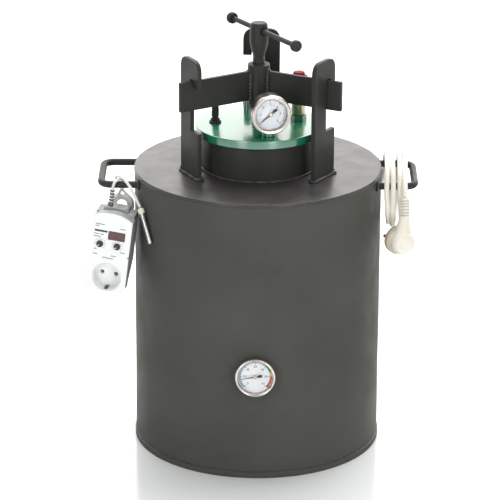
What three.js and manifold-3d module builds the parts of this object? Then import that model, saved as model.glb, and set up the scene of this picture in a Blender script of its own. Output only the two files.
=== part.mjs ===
// Household electric pressure canner with a three-arm screw clamp.
// Millimetres, +Z up. The origin is the centre of the underside of the base.
import * as THREE from "three";
import { mergeVertices } from "three/addons/utils/BufferGeometryUtils.js";
import Module from "manifold-3d";

const wasm = await Module();
wasm.setup();

// Driving dimensions
const GAP = 0.3; // left between two pieces that touch
const VESSEL = { r: 165, wall: 2.5, baseR: 166.5, baseTop: 8, deckBottom: 380, deckTop: 384 };
const MOUTH = { inner: 72, outer: 76, top: 429 };
const LID = { r: 84.5, bottom: 432, top: 443, spigotInner: 66, spigotOuter: 70.5, spigotBottom: 425 };
const HANDLE = { z: 371, legY: 48, reach: 208.5, barR: 4.75, cornerR: 16 };
const CLAMP = { turn: 92.6, count: 3, barThick: 6, barTop: 517, barBottom: 477, barEnd: 122.5 };
const POST = { turn: 87.9, inner: 97, outer: 103, halfWidth: 25, top: 545, headR: 16 };
const NOTCH = { at: -8.2, half: 5, bottom: 448, toothBottom: 508, top: 518.5 };
const HUB = { r: 14.6, bore: 8.4, bottom: 470, top: 525 };
const SCREW = { r: 8, tip: 447.4, top: 581.5, barZ: 571.3, barHole: 3.8 };
const TOMMY = { r: 3.5, length: 168, offset: 11.4, turn: -58, knobR: 7.9, knobLength: 10 };
const GAUGE = { at: [14.1, -56.5], z: 474.4, turn: 14, r: 26.7, needle: -128.7 };
const THERMOMETER = { x: -2, z: 149, face: 181, r: 26.3, needle: -100 };
const VALVE = { at: [53.5, 14], bodyR: 9.6, knobR: 12.2 };
const AIR = { at: [-57.5, 1] };
const POCKET = { at: [-15.3, 50], r: 4.75, bore: 3.6, bottom: 300, top: 463 };
const HEATER = { z: 34, loopR: 110, barR: 4.2 };
const TERMINAL = { halfWidth: 34, low: 12, high: 62, back: 198 };
const CONTROL = { at: [-197.4, -92, 290], tilt: 7, yaw: -10, width: 56, height: 108, split: 20, depth: 50 };
const SOCKET = { x: 1.6, z: -33.6, r: 19.4, recessR: 18.4, depth: 16, holeR: 2.6, spacing: 19 };
const SENSOR = { r: 1.9, coilR: 12, coilThick: 5.2, collarR: 4.3, probeR: 3.25 };
const MAINS = { r: 3.5, turns: 3, pitch: 8.9, halfWidth: 62, top: 391.5, bottom: 313, cornerR: 26, turn: -3 };
const PLUG = { at: [190.3, -81, 304.8], turn: 25, faceR: 19.3, depth: 27, neckTop: 341.5, reliefTop: 363.4 };

// Colours and finishes
const paint = (color, roughness, metalness = 0) =>
  new THREE.MeshStandardMaterial({ color, roughness, metalness });
const BLACK_PAINT = paint(0x2b2b2c, 0.42, 0.1);
const GREEN_PAINT = paint(0x0d6b45, 0.18, 0.1);
const STEEL = paint(0xa7a9ac, 0.3, 1);
const CHROME = paint(0xd8cfc4, 0.15, 1);
const BRASS = paint(0xb08a4a, 0.3, 1);
const RUBBER = paint(0x1b1b1b, 0.8);
const BLACK_PLASTIC = paint(0x141414, 0.4);
const WHITE_PLASTIC = paint(0xeceeee, 0.35);
const GREY_PLASTIC = paint(0xa9acb0, 0.4);
const CREAM = paint(0xe6e1d2, 0.45);
const RED = paint(0xa01020, 0.4);
const DIAL = paint(0xf6f8fa, 0.5);
const GLASS = paint(0xdfe9ee, 0.05);
const MAROON = paint(0x4a1418, 0.15);

const canner = new THREE.Group();
canner.name = "pressure_canner";

function add(name, geometry, material, parent = canner) {
  const mesh = new THREE.Mesh(geometry, material);
  mesh.name = name;
  parent.add(mesh);
  return mesh;
}

// Geometry to a manifold-3d solid and back
function solid(geometry) {
  const bare = geometry.index ? geometry.toNonIndexed() : geometry.clone();
  bare.deleteAttribute("normal");
  bare.deleteAttribute("uv");
  const merged = mergeVertices(bare, 1e-4);
  return new wasm.Manifold(
    new wasm.Mesh({
      numProp: 3,
      vertProperties: merged.attributes.position.array,
      triVerts: new Uint32Array(merged.index.array),
    }),
  );
}

function geometryOf(body) {
  const mesh = body.getMesh();
  const geometry = new THREE.BufferGeometry();
  geometry.setAttribute("position", new THREE.BufferAttribute(mesh.vertProperties, 3));
  geometry.setIndex(new THREE.BufferAttribute(mesh.triVerts, 1));
  return geometry;
}

const cut = (from, ...tools) =>
  geometryOf(tools.reduce((body, tool) => body.subtract(solid(tool)), solid(from)));
const join = (first, ...others) =>
  geometryOf(others.reduce((body, other) => body.add(solid(other)), solid(first)));

// A profile of [radius, height] turned about Z
function turned(profile, sides = 48) {
  const points = profile.map(([r, z]) => new THREE.Vector2(r, z));
  return new THREE.LatheGeometry(points, sides).rotateX(Math.PI / 2);
}

const ring = (inner, outer, low, high, sides = 48) =>
  turned([[inner, low], [outer, low], [outer, high], [inner, high], [inner, low]], sides);
const disc = (r, low, high, sides = 48) => turned([[0, low], [r, low], [r, high], [0, high]], sides);
const placed = (geometry, x, y, z = 0) => geometry.translate(x, y, z);

// An outline drawn in X and Z, given depth along +Y
function slab(outline, depth) {
  const flat = new THREE.ExtrudeGeometry(outline, { depth, bevelEnabled: false, curveSegments: 5 });
  return flat.rotateX(Math.PI / 2).translate(0, depth, 0);
}

function roundedOutline(left, right, low, high, r) {
  const s = new THREE.Shape();
  s.moveTo(left + r, low);
  s.lineTo(right - r, low);
  s.absarc(right - r, low + r, r, -Math.PI / 2, 0);
  s.lineTo(right, high - r);
  s.absarc(right - r, high - r, r, 0, Math.PI / 2);
  s.lineTo(left + r, high);
  s.absarc(left + r, high - r, r, Math.PI / 2, Math.PI);
  s.lineTo(left, low + r);
  s.absarc(left + r, low + r, r, Math.PI, 1.5 * Math.PI);
  return s;
}

// A round bar, wire or cord along a smooth curve through points
function tube(points, r, sides = 8, steps = 40) {
  const curve = new THREE.CatmullRomCurve3(points.map((p) => new THREE.Vector3(...p)));
  const section = new THREE.Shape();
  for (let i = 0; i < sides; i++) {
    const a = (2 * Math.PI * i) / sides;
    if (i) section.lineTo(r * Math.cos(a), r * Math.sin(a));
    else section.moveTo(r, 0);
  }
  section.closePath();
  return new THREE.ExtrudeGeometry(section, { steps, extrudePath: curve, bevelEnabled: false });
}

const turn = (degrees) => THREE.MathUtils.degToRad(degrees);

// Vessel: base, shell, deck and mouth
function buildVessel() {
  const { r, wall, baseR, baseTop, deckBottom, deckTop } = VESSEL;
  add("base_plate", disc(baseR, 0, baseTop, 48), BLACK_PAINT);
  const shell = ring(r - wall, r, baseTop + GAP, deckBottom - GAP, 48);
  const wellHole = disc(6.5, -10, 10, 16).rotateX(Math.PI / 2);
  const heaterHole = disc(17, -12, 12, 24).rotateX(Math.PI / 2);
  const drilled = cut(
    shell,
    placed(wellHole, THERMOMETER.x, -r, THERMOMETER.z),
    placed(heaterHole, 0, r, HEATER.z),
  );
  add("vessel_shell", drilled, BLACK_PAINT);
  add("top_plate", ring(MOUTH.inner, r + 0.4, deckBottom, deckTop, 48), BLACK_PAINT);
  add("mouth_ring", ring(MOUTH.inner, MOUTH.outer, deckTop + GAP, MOUTH.top, 48), BLACK_PAINT);
  add("lid_gasket", ring(MOUTH.inner + 0.5, MOUTH.outer, MOUTH.top + GAP, LID.bottom - GAP), RUBBER);
}

// Two bar handles whose ends are cut to the round of the shell
function buildHandles() {
  const { z, legY, reach, barR, cornerR } = HANDLE;
  const clearance = disc(VESSEL.r + GAP, z - 10, z + 10, 96);
  for (const [name, side] of [["left_handle", -1], ["right_handle", 1]]) {
    const path = new THREE.CurvePath();
    const at = (x, y) => new THREE.Vector3(side * x, y, z);
    const bend = (from, corner, to) => new THREE.QuadraticBezierCurve3(from, corner, to);
    const inner = 150;
    path.add(new THREE.LineCurve3(at(inner, -legY), at(reach - cornerR, -legY)));
    path.add(bend(at(reach - cornerR, -legY), at(reach, -legY), at(reach, cornerR - legY)));
    path.add(new THREE.LineCurve3(at(reach, cornerR - legY), at(reach, legY - cornerR)));
    path.add(bend(at(reach, legY - cornerR), at(reach, legY), at(reach - cornerR, legY)));
    path.add(new THREE.LineCurve3(at(reach - cornerR, legY), at(inner, legY)));
    const points = path.getSpacedPoints(32).map((p) => p.toArray());
    add(name, cut(tube(points, barR, 10, 32), clearance), BLACK_PAINT);
  }
}

// One welded hook post and one arm of the clamp for each of the three stations
function buildStations() {
  const { inner, outer, halfWidth, top, headR } = POST;
  const outline = new THREE.Shape();
  outline.moveTo(-halfWidth, VESSEL.deckTop + GAP);
  outline.lineTo(halfWidth, VESSEL.deckTop + GAP);
  outline.lineTo(halfWidth, top - headR);
  outline.absarc(halfWidth - headR, top - headR, headR, 0, Math.PI / 2);
  outline.lineTo(headR - halfWidth, top);
  outline.absarc(headR - halfWidth, top - headR, headR, Math.PI / 2, Math.PI);
  outline.lineTo(-halfWidth, NOTCH.toothBottom);
  outline.lineTo(NOTCH.at - NOTCH.half, NOTCH.toothBottom);
  outline.lineTo(NOTCH.at - NOTCH.half, NOTCH.top);
  outline.lineTo(NOTCH.at + NOTCH.half, NOTCH.top);
  outline.lineTo(NOTCH.at + NOTCH.half, NOTCH.bottom);
  outline.lineTo(-halfWidth, NOTCH.bottom);
  outline.closePath();
  const names = ["rear", "left", "right"];
  // A post and an arm are built on +Y, each in a group that is then turned round the axis
  const station = (first, i) => {
    const group = new THREE.Group();
    group.rotation.z = turn(first - 90 + (i * 360) / CLAMP.count);
    canner.add(group);
    return group;
  };
  for (let i = 0; i < CLAMP.count; i++) {
    const plate = placed(slab(outline, outer - inner), 0, inner);
    add("hook_post_" + names[i], plate, BLACK_PAINT, station(POST.turn, i));
    const length = CLAMP.barEnd - HUB.r - GAP;
    const height = CLAMP.barTop - CLAMP.barBottom;
    const bar = new THREE.BoxGeometry(CLAMP.barThick, length, height);
    placed(bar, 0, HUB.r + GAP + length / 2, CLAMP.barBottom + height / 2);
    add("clamp_arm_" + names[i], bar, BLACK_PAINT, station(CLAMP.turn, i));
  }
  add("clamp_hub", ring(HUB.bore, HUB.r, HUB.bottom, HUB.top, 36), BLACK_PAINT);
}

// Clamp screw with its vase-shaped head, and the sliding tommy bar
function buildScrew() {
  const { r, tip, top, barZ, barHole } = SCREW;
  const profile = [
    [0, tip], [r - 2, tip], [r, tip + 2], [r, HUB.top + 2], [r - 1, HUB.top + 3.5], [r - 1, HUB.top + 9],
    [r + 1, HUB.top + 16], [r + 3.6, HUB.top + 25], [r + 4.4, HUB.top + 33], [r + 3.8, HUB.top + 42],
    [r + 3.3, top - 5], [r + 2, top - 1.2], [r - 1, top], [0, top],
  ];
  const barTurn = turn(TOMMY.turn + 90);
  const hole = disc(barHole, -20, 20, 16).rotateX(Math.PI / 2).rotateZ(barTurn);
  add("clamp_screw", cut(turned(profile, 24), placed(hole, 0, 0, barZ)), BLACK_PAINT);

  const bar = new THREE.Group();
  bar.position.set(0, 0, barZ);
  bar.rotation.z = barTurn;
  canner.add(bar);
  const { knobR, knobLength } = TOMMY;
  const half = (TOMMY.length - knobLength) / 2;
  const front = -half - TOMMY.offset;
  const rear = half - TOMMY.offset;
  const overlap = knobLength / 2;
  const rod = disc(TOMMY.r, front + overlap, rear - overlap, 12).rotateX(-Math.PI / 2);
  add("tommy_bar", rod, BLACK_PAINT, bar);
  const bead = [[0, -0.5], [0.55, -0.42], [0.9, -0.2], [1, 0], [0.9, 0.2], [0.55, 0.42], [0, 0.5]];
  for (const [name, y, inward] of [["tommy_knob_front", front, 1], ["tommy_knob_rear", rear, -1]]) {
    const knob = turned(bead.map(([a, b]) => [a * knobR, b * knobLength]), 12).rotateX(-Math.PI / 2);
    // The rod ends in the knob's inner face, in a hole with running room all round
    const socket = disc(TOMMY.r + GAP, overlap - GAP, 20, 12).rotateX((-inward * Math.PI) / 2);
    add(name, placed(cut(knob, socket), 0, y), BLACK_PAINT, bar);
  }
}

// Lid with its drilled holes, and the seat that the screw presses on
function buildLid() {
  const { r, bottom, top, spigotInner, spigotOuter, spigotBottom } = LID;
  const body = turned([
    [0, bottom], [spigotInner, bottom], [spigotInner, spigotBottom], [spigotOuter, spigotBottom],
    [spigotOuter, bottom], [r, bottom], [r, top - 0.8], [r - 0.8, top], [0, top],
  ], 48);
  const drill = (at, radius) => placed(disc(radius, bottom - 5, top + 5, 12), ...at);
  const holes = [[GAUGE.at, 3], [VALVE.at, 4], [AIR.at, 2.5], [POCKET.at, POCKET.r + GAP]];
  add("lid_plate", cut(body, ...holes.map(([at, radius]) => drill(at, radius))), GREEN_PAINT);
  const seat = [[0, top + GAP], [9.3, top + GAP], [9.3, 451], [8.7, 451], [8.7, 447], [0, 447]];
  add("screw_seat", turned(seat, 24), GREEN_PAINT);
  const { at, r: outer, bore, bottom: low, top: high } = POCKET;
  const floor = low + 3;
  const pocket = turned([[0, low], [outer, low], [outer, high], [bore, high], [bore, floor], [0, floor]], 16);
  add("probe_pocket", placed(pocket, ...at), GREEN_PAINT);
}

// A round dial instrument that faces -Y. Heights in the profiles run from its back to its face.
function buildInstrument(prefix, group, { r, back, lip, floor, depth, needle, stem }) {
  const forward = (g) => g.rotateX(Math.PI / 2);
  const cup = [[0, 0], [back, 0], [back, depth - 5.5], [r, depth - 4.5], [r, depth - 0.8], [r - 0.8, depth],
    [lip, depth], [lip, floor], [0, floor]];
  const shell = forward(turned(cup, 28));
  add(prefix + "_case", stem ? join(shell, stem) : shell, CHROME, group);
  add(prefix + "_dial", forward(ring(1.4, lip - 0.4, floor + GAP, floor + 1.2, 28)), DIAL, group);
  const glass = disc(lip - 0.4, depth - 2.6, depth - 1.2, 28);
  add(prefix + "_glass", forward(glass), GLASS, group);
  const hand = new THREE.Shape();
  hand.moveTo(-0.35, 0.86 * lip);
  hand.lineTo(-1, 0);
  hand.lineTo(-1.7, -0.2 * lip);
  hand.lineTo(-1.7, -0.46 * lip);
  hand.lineTo(1.7, -0.46 * lip);
  hand.lineTo(1.7, -0.2 * lip);
  hand.lineTo(1, 0);
  hand.lineTo(0.35, 0.86 * lip);
  hand.closePath();
  const blade = slab(hand, 0.8).translate(0, -floor - 3.2, 0).rotateY(turn(needle));
  const arbor = forward(disc(1, floor + GAP, floor + 3.9, 12));
  const cap = forward(disc(2.4, floor + 1.9, floor + 3.6, 16));
  add(prefix + "_needle", join(blade, arbor, cap), BLACK_PLASTIC, group);
}

function buildGauge() {
  add("gauge_boss", placed(disc(9, LID.top + GAP, 447.6, 24), ...GAUGE.at), GREEN_PAINT);
  const group = new THREE.Group();
  group.position.set(...GAUGE.at, GAUGE.z);
  group.rotation.z = turn(GAUGE.turn);
  canner.add(group);
  const backY = 9;
  const instrument = new THREE.Group();
  instrument.position.y = backY;
  group.add(instrument);
  const stem = placed(disc(5, 448 - GAUGE.z, -22, 16), 0, -backY);
  const sizes = { r: GAUGE.r, back: 25.4, lip: 22.6, floor: 14, depth: 23, needle: GAUGE.needle, stem };
  buildInstrument("gauge", instrument, sizes);
}

function buildThermometer() {
  const { x, z, face, r, needle } = THERMOMETER;
  const group = new THREE.Group();
  const depth = 12.5;
  group.position.set(x, depth - face, z);
  canner.add(group);
  buildInstrument("thermometer", group, { r, back: 24.5, lip: 23.4, floor: 3.5, depth, needle });
  const well = [[0, 60], [5.5, 60], [5.5, 2], [8.5, 2], [8.5, 0], [3.4, 0], [3.4, 57], [0, 57]];
  const sleeve = turned(well.map(([a, b]) => [a, -b]), 12).rotateX(Math.PI / 2);
  add("thermometer_well", placed(sleeve, x, depth - face + GAP, z), STEEL);
}

// Diaphragm safety valve with a twist-to-lift knob
function buildSafetyValve() {
  const { at, bodyR, knobR } = VALVE;
  add("valve_base_nut", placed(ring(3.6, 10.6, LID.top + GAP, 451, 6), ...at), GREEN_PAINT);
  const foot = 451 + GAP;
  const body = [[3.6, foot], [bodyR, foot], [bodyR, 494], [6.4, 494], [6.4, 458], [3.6, 458], [3.6, foot]];
  add("valve_body", placed(turned(body, 16), ...at), BRASS);
  add("valve_disc", placed(disc(5.4, 458 + GAP, 461, 16), ...at), RUBBER);
  const coil = [];
  const turns = 5;
  for (let i = 0; i <= turns * 8; i++) {
    const a = (i * Math.PI) / 4;
    coil.push([4.6 * Math.cos(a), 4.6 * Math.sin(a), 462.2 + (i * 24) / (turns * 8)]);
  }
  add("valve_spring", placed(tube(coil, 0.7, 5, 36), ...at), STEEL);
  const knob = [
    [0, 463], [2.2, 463], [2.2, 500], [10.2, 500], [10.2, 485], [knobR, 485], [knobR, 503],
    [knobR - 1.5, 505],
    [7.8, 505], [7.8, 509], [6.8, 510], [0, 510],
  ];
  add("valve_knob", placed(turned(knob, 18), ...at), RED);
}

// Air valve of the tyre type, with its screw cap
function buildAirValve() {
  const stem = [
    [0, 443.3], [8, 443.3], [8, 445], [5.6, 445.4], [5.6, 448.6], [4, 449.6], [4, 451], [4.7, 452],
    [4.7, 469.2],
    [3.5, 469.2], [3.5, 478], [1.5, 478], [1.5, 458], [0, 458],
  ];
  add("air_valve_stem", placed(turned(stem, 12), ...AIR.at), BRASS);
  const cap = [
    [3.9, 469.6], [5, 469.6], [5, 481], [4.2, 482.5], [0, 482.5], [0, 479], [3.9, 479], [3.9, 469.6],
  ];
  add("air_valve_cap", placed(turned(cap, 12), ...AIR.at), BLACK_PLASTIC);
}

// Immersion heater, its flange, the terminal cover and the jar rack
function buildHeater() {
  const { z, loopR, barR } = HEATER;
  const points = [];
  for (let i = 0; i <= 24; i++) {
    const a = turn(100 + (i * 340) / 24);
    points.push([loopR * Math.cos(a), loopR * Math.sin(a), z]);
  }
  const legX = 8;
  const legs = [130, 145, 158, 168];
  points.unshift(...legs.map((y) => [-legX, y, z]).reverse());
  points.push(...legs.map((y) => [legX, y, z]));
  add("heater_element", tube(points, barR, 6, 44), STEEL);
  const flange = disc(26, VESSEL.r + 3.6, VESSEL.r + 8, 20).rotateX(-Math.PI / 2);
  const plug = disc(16.5, VESSEL.r - 4, VESSEL.r + 4, 20).rotateX(-Math.PI / 2);
  const bore = (x) => disc(barR + GAP, 150, 168 + GAP, 12).rotateX(-Math.PI / 2).translate(x, 0, 0);
  const holed = cut(join(flange, plug), bore(-legX), bore(legX));
  add("heater_flange", placed(holed, 0, 0, z), BRASS);

  const { halfWidth, low, high, back } = TERMINAL;
  const lid = roundedOutline(-halfWidth, halfWidth, low, high, 6);
  const outer = slab(lid, back - 173.4).translate(0, 173.4, 0);
  const room = roundedOutline(3 - halfWidth, halfWidth - 3, low + 3, high - 3, 4);
  const hollow = slab(room, 22).translate(0, 171, 0);
  const side = disc(6 + GAP, 0, 20, 16).rotateY(Math.PI / 2).translate(halfWidth - 10, 186, 40);
  add("terminal_cover", cut(outer, hollow, side), BLACK_PLASTIC);
  const cordBore = MAINS.r + GAP;
  const gland = [
    [cordBore, -8], [6, -8], [6, 0.6], [9, 0.6], [9, 6], [6.5, 8], [4.4, 22], [cordBore, 22],
    [cordBore, -8],
  ];
  add("cord_gland", turned(gland, 14).rotateY(Math.PI / 2).translate(halfWidth, 186, 40), BLACK_PLASTIC);

  const plate = disc(152, 52, 54, 36);
  const holes = [];
  for (const [radius, count, size] of [[42, 4, 18], [100, 8, 24]]) {
    for (let i = 0; i < count; i++) {
      const a = (2 * Math.PI * i) / count;
      holes.push(placed(disc(size, 50, 56, 8), radius * Math.cos(a), radius * Math.sin(a)));
    }
  }
  const feet = [0, 1, 2, 3].map((i) => {
    const a = turn(45 + 90 * i);
    return placed(disc(4, VESSEL.baseTop + GAP, 53, 10), 140 * Math.cos(a), 140 * Math.sin(a));
  });
  add("jar_rack", join(cut(plate, ...holes), ...feet), STEEL);
}

// Plug-in thermostat: its own frame has X across, Z up and its face at Y = 0
function buildControl() {
  const { at, tilt, yaw, width, height, split, depth } = CONTROL;
  const control = new THREE.Group();
  control.position.set(...at);
  control.rotation.set(0, turn(tilt), turn(yaw), "ZYX");
  canner.add(control);
  const w = width / 2;
  const h = height / 2;
  const arch = 5.6;
  const face = new THREE.Shape();
  face.moveTo(8 - w, -h);
  face.lineTo(w - 8, -h);
  face.absarc(w - 8, 8 - h, 8, -Math.PI / 2, 0);
  const eaves = h - arch - 1;
  face.lineTo(w, eaves - 2);
  face.quadraticCurveTo(w, eaves, w - 2, eaves + 0.6);
  face.quadraticCurveTo(0, eaves + 2 * arch, 2 - w, eaves + 0.6);
  face.quadraticCurveTo(-w, eaves, -w, eaves - 2);
  face.lineTo(-w, 8 - h);
  face.absarc(8 - w, 8 - h, 8, Math.PI, 1.5 * Math.PI);
  const toFace = (g) => g.rotateX(Math.PI / 2);
  const bore = toFace(disc(SOCKET.r + GAP, -split - 5, 5, 24)).translate(SOCKET.x, 0, SOCKET.z);
  const knobs = [["set_knob_left", -12.4], ["set_knob_right", 11]];
  const knobZ = 11.6;
  const knobHoles = knobs.map(([, x]) => toFace(disc(3.4, -4, 5, 12)).translate(x, 0, knobZ));
  const pane = (gap, thick) => slab(roundedOutline(gap - 2.4, 20 - gap, 19.4 + gap, 31.2 - gap, 1), thick);
  const front = cut(slab(face, split - GAP), bore, ...knobHoles, pane(0, 3).translate(0, -1, 0));
  add("thermostat_front", front, WHITE_PLASTIC, control);
  add("display_window", pane(GAP, 1.8), MAROON, control);
  for (const [name, x] of knobs) {
    const knob = toFace(turned([[0, -3.6], [3, -3.6], [3, 0.4], [4.4, 0.4], [4.2, 3], [0, 3]], 16));
    add(name, placed(knob, x, 0, knobZ), BLACK_PLASTIC, control);
  }

  // Rear shell, narrower, sloped away at its foot, with a raised cable entry and two mains pins
  const side = new THREE.Shape();
  side.moveTo(split, -h + 4);
  side.lineTo(split + 8, -h + 4);
  side.lineTo(depth, -h + 34);
  side.lineTo(depth, h - 4);
  side.lineTo(split, h - 4);
  side.closePath();
  const rearWidth = width - 5;
  const profile = new THREE.ExtrudeGeometry(side, { depth: rearWidth, bevelEnabled: false });
  // The side profile is drawn in Y and Z and extruded along X
  profile.applyMatrix4(new THREE.Matrix4().set(0, 0, 1, -rearWidth / 2, 1, 0, 0, 0, 0, 1, 0, 0, 0, 0, 0, 1));
  const entry = slab(roundedOutline(-18, 16, h - 10, h + 0.5, 4), 20).translate(0, 27, 0);
  const pin = (x) => disc(2.4, depth - 2, depth + 19, 12).rotateX(-Math.PI / 2).translate(x, 0, 2);
  const keep = toFace(disc(SOCKET.r + GAP, -split - 3, 5, 32)).translate(SOCKET.x, 0, SOCKET.z);
  add("thermostat_back", cut(join(profile, entry, pin(-9.5), pin(9.5)), keep), GREY_PLASTIC, control);

  // Socket insert: a cup with two pin holes, and the earth contact at its foot
  const { r, recessR, depth: recess, holeR, spacing } = SOCKET;
  const cup = [[0, -split - 2], [r, -split - 2], [r, 0], [recessR, 0], [recessR, -recess], [0, -recess]];
  const hole = (x) => toFace(disc(holeR, -split - 5, 5, 12)).translate(x, 0, 0);
  const insert = cut(toFace(turned(cup, 24)), hole(-spacing / 2), hole(spacing / 2));
  add("socket_insert", placed(insert, SOCKET.x, 0, SOCKET.z), WHITE_PLASTIC, control);
  const clip = new THREE.BoxGeometry(4, 12, 1.4).translate(SOCKET.x, 8.5, SOCKET.z - recessR + 1.4);
  add("earth_contact", clip, STEEL, control);

  const beads = [[0, 0], [3.4, 0]];
  const count = 5;
  for (let i = 0; i < count; i++) beads.push([3.2, 1 + 4.4 * i], [2.1, 3.2 + 4.4 * i]);
  beads.push([2.8, 22], [0, 22]);
  add("sensor_relief", placed(turned(beads, 12), -10.4, 35, h + 0.5 + GAP), BLACK_PLASTIC, control);
}

// Sensor lead: over the near leg of the left handle, a coil hung on the leg, and back over to the probe
const SENSOR_OUT = [
  [-191.8, -57.4, 367.9], [-191.4, -57.6, 371.5], [-190, -56.2, 375.4], [-187.2, -53, 378],
  [-183.6, -48.4, 378.7],
  [-180.4, -43.4, 377], [-178.6, -39.4, 372.6], [-178.6, -37.6, 367], [-180.4, -36.8, 361.8],
  [-183, -36.2, 358],
];
const SENSOR_IN = [
  [-180.4, -30.4, 358], [-184, -30.6, 363.6], [-187, -32, 369], [-188.2, -34.8, 374], [-188, -40.2, 379.2],
  [-185.8, -45.6, 382.4],
  [-182.4, -50.2, 383], [-178.2, -53.8, 381.4], [-173.6, -57, 377.2], [-169, -60.2, 371.6],
  [-164.4, -64.6, 364.4],
  [-160, -69.6, 356.6], [-155.6, -74.8, 348.6],
];
const COIL_AT = [-181.6, -33.5, 338];
const PROBE = { from: [-155.1, -75.4, 347.7], to: [-141.2, -93.9, 304] };
function buildSensor() {
  add("sensor_cord_out", tube(SENSOR_OUT, SENSOR.r, 8, 20), WHITE_PLASTIC);
  add("sensor_cord_in", tube(SENSOR_IN, SENSOR.r, 8, 24), WHITE_PLASTIC);
  const section = [];
  for (let i = 0; i <= 6; i++) {
    const a = (i * Math.PI) / 3;
    section.push([SENSOR.coilR + SENSOR.coilThick * Math.cos(a), SENSOR.coilThick * Math.sin(a)]);
  }
  const coil = new THREE.Group();
  coil.position.set(...COIL_AT);
  coil.rotation.x = turn(90);
  canner.add(coil);
  add("sensor_coil", turned(section, 24), WHITE_PLASTIC, coil);

  const from = new THREE.Vector3(...PROBE.from);
  const along = new THREE.Vector3(...PROBE.to).sub(from);
  const probe = new THREE.Group();
  probe.position.copy(from);
  probe.quaternion.setFromUnitVectors(new THREE.Vector3(0, 0, 1), along.clone().normalize());
  canner.add(probe);
  const { collarR, probeR } = SENSOR;
  const length = along.length();
  add("sensor_probe", turned([
    [0, 0], [collarR, 0], [collarR, 7.5], [probeR, 7.5], [probeR, length - 1.5], [probeR - 1.5, length],
    [0, length],
  ], 16), STEEL, probe);
}

// Mains cord: from the gland up behind the shell, wound over both legs of the right handle, down to the plug
const MAINS_LEAD = [
  [56.4, 186, 40], [66, 186, 38.9], [78, 184.6, 34.6], [90, 180, 27.6], [102, 171, 18.8], [113, 159.6, 11],
  [122, 148, 7.8], [131, 136.2, 10.4], [137.6, 127.6, 19.4], [140.6, 123.4, 30], [141.2, 122, 44],
  [141.4, 121, 72],
  [141.4, 120, 120], [141.6, 118, 160], [143, 115, 200], [146, 109, 240], [151, 99.5, 276], [158, 88, 304],
  [164.2, 79, 324], [169.4, 73, 339], [171.4, 70.4, 350],
];
const MAINS_DROP = [
  [197.9, 28, 391.5], [196.8, 8, 391.5], [195.8, -12, 391.5], [194.8, -32, 391], [194.2, -46, 388],
  [193.8, -58, 381.6], [193.8, -67.6, 373.6], [194, -72.4, 364.8],
];
function buildMainsCord() {
  add("mains_cord_lead", tube(MAINS_LEAD, MAINS.r, 8, 44), CREAM);
  const { r, turns, pitch, halfWidth, top, bottom, cornerR } = MAINS;
  const inner = VESSEL.r + 0.6;
  const band = roundedOutline(-halfWidth - r, halfWidth + r, bottom - r, top + r, cornerR + r);
  band.holes.push(roundedOutline(r - halfWidth, halfWidth - r, bottom + r, top - r, cornerR - r));
  const depth = turns * pitch;
  const coil = new THREE.ExtrudeGeometry(band, { depth, bevelEnabled: false, curveSegments: 8 });
  // The outline is drawn in Y and Z and extruded along X
  coil.applyMatrix4(new THREE.Matrix4().set(0, 0, 1, 0, 1, 0, 0, 0, 0, 1, 0, 0, 0, 0, 0, 1));
  // The hank follows the drum's side, so it hangs a little turned about its inner face
  coil.rotateZ(turn(MAINS.turn)).translate(inner, 0, 0);
  add("mains_coil", coil, CREAM);
  add("mains_cord_drop", tube(MAINS_DROP, r, 8, 12), CREAM);

  // Angled earthed plug that hangs from the cord, with its pins turned to the back
  const plug = new THREE.Group();
  plug.position.set(...PLUG.at);
  plug.rotation.z = turn(PLUG.turn);
  canner.add(plug);
  const back = (g) => g.rotateX(-Math.PI / 2);
  const { faceR, depth: thick } = PLUG;
  const body = back(turned([
    [0, -thick / 2], [9, -thick / 2], [14, -thick / 2 + 3], [16.6, -thick / 2 + 9], [17, thick / 2 - 9],
    [faceR, thick / 2 - 8], [faceR, thick / 2], [0, thick / 2],
  ], 20));
  const neckTop = PLUG.neckTop - PLUG.at[2];
  const neck = turned([[0, 0], [13, 0], [12, 16], [8.6, 26], [7, neckTop], [0, neckTop]], 12);
  // The neck leans towards the strain relief
  neck.applyMatrix4(new THREE.Matrix4().makeShear(0, 0, 0, 0, 0.121, 0.046));
  const rear = thick / 2;
  const pinLine = [[0, rear - 1], [2.4, rear - 1], [2.4, rear + 17.5], [1.6, rear + 19], [0, rear + 19]];
  const pins = [-9.5, 9.5].map((x) => back(turned(pinLine, 12)).translate(x, 0, 0));
  add("plug_body", join(body, neck, ...pins), CREAM, plug);
  const drop = MAINS_DROP[MAINS_DROP.length - 1];
  const low = PLUG.neckTop + GAP;
  const lean = [[193.8, -77, low + 1], [193.9, -76, low + 7], [194, -74, low + 14]];
  lean.push([drop[0], drop[1], PLUG.reliefTop]);
  add("plug_relief", tube(lean, 5.8, 12, 8), CREAM);
}

buildVessel();
buildHandles();
buildStations();
buildScrew();
buildLid();
buildGauge();
buildThermometer();
buildSafetyValve();
buildAirValve();
buildHeater();
buildControl();
buildSensor();
buildMainsCord();

export default canner;
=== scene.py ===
import math

import bmesh
import bpy
from mathutils import Matrix, Vector, noise


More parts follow.
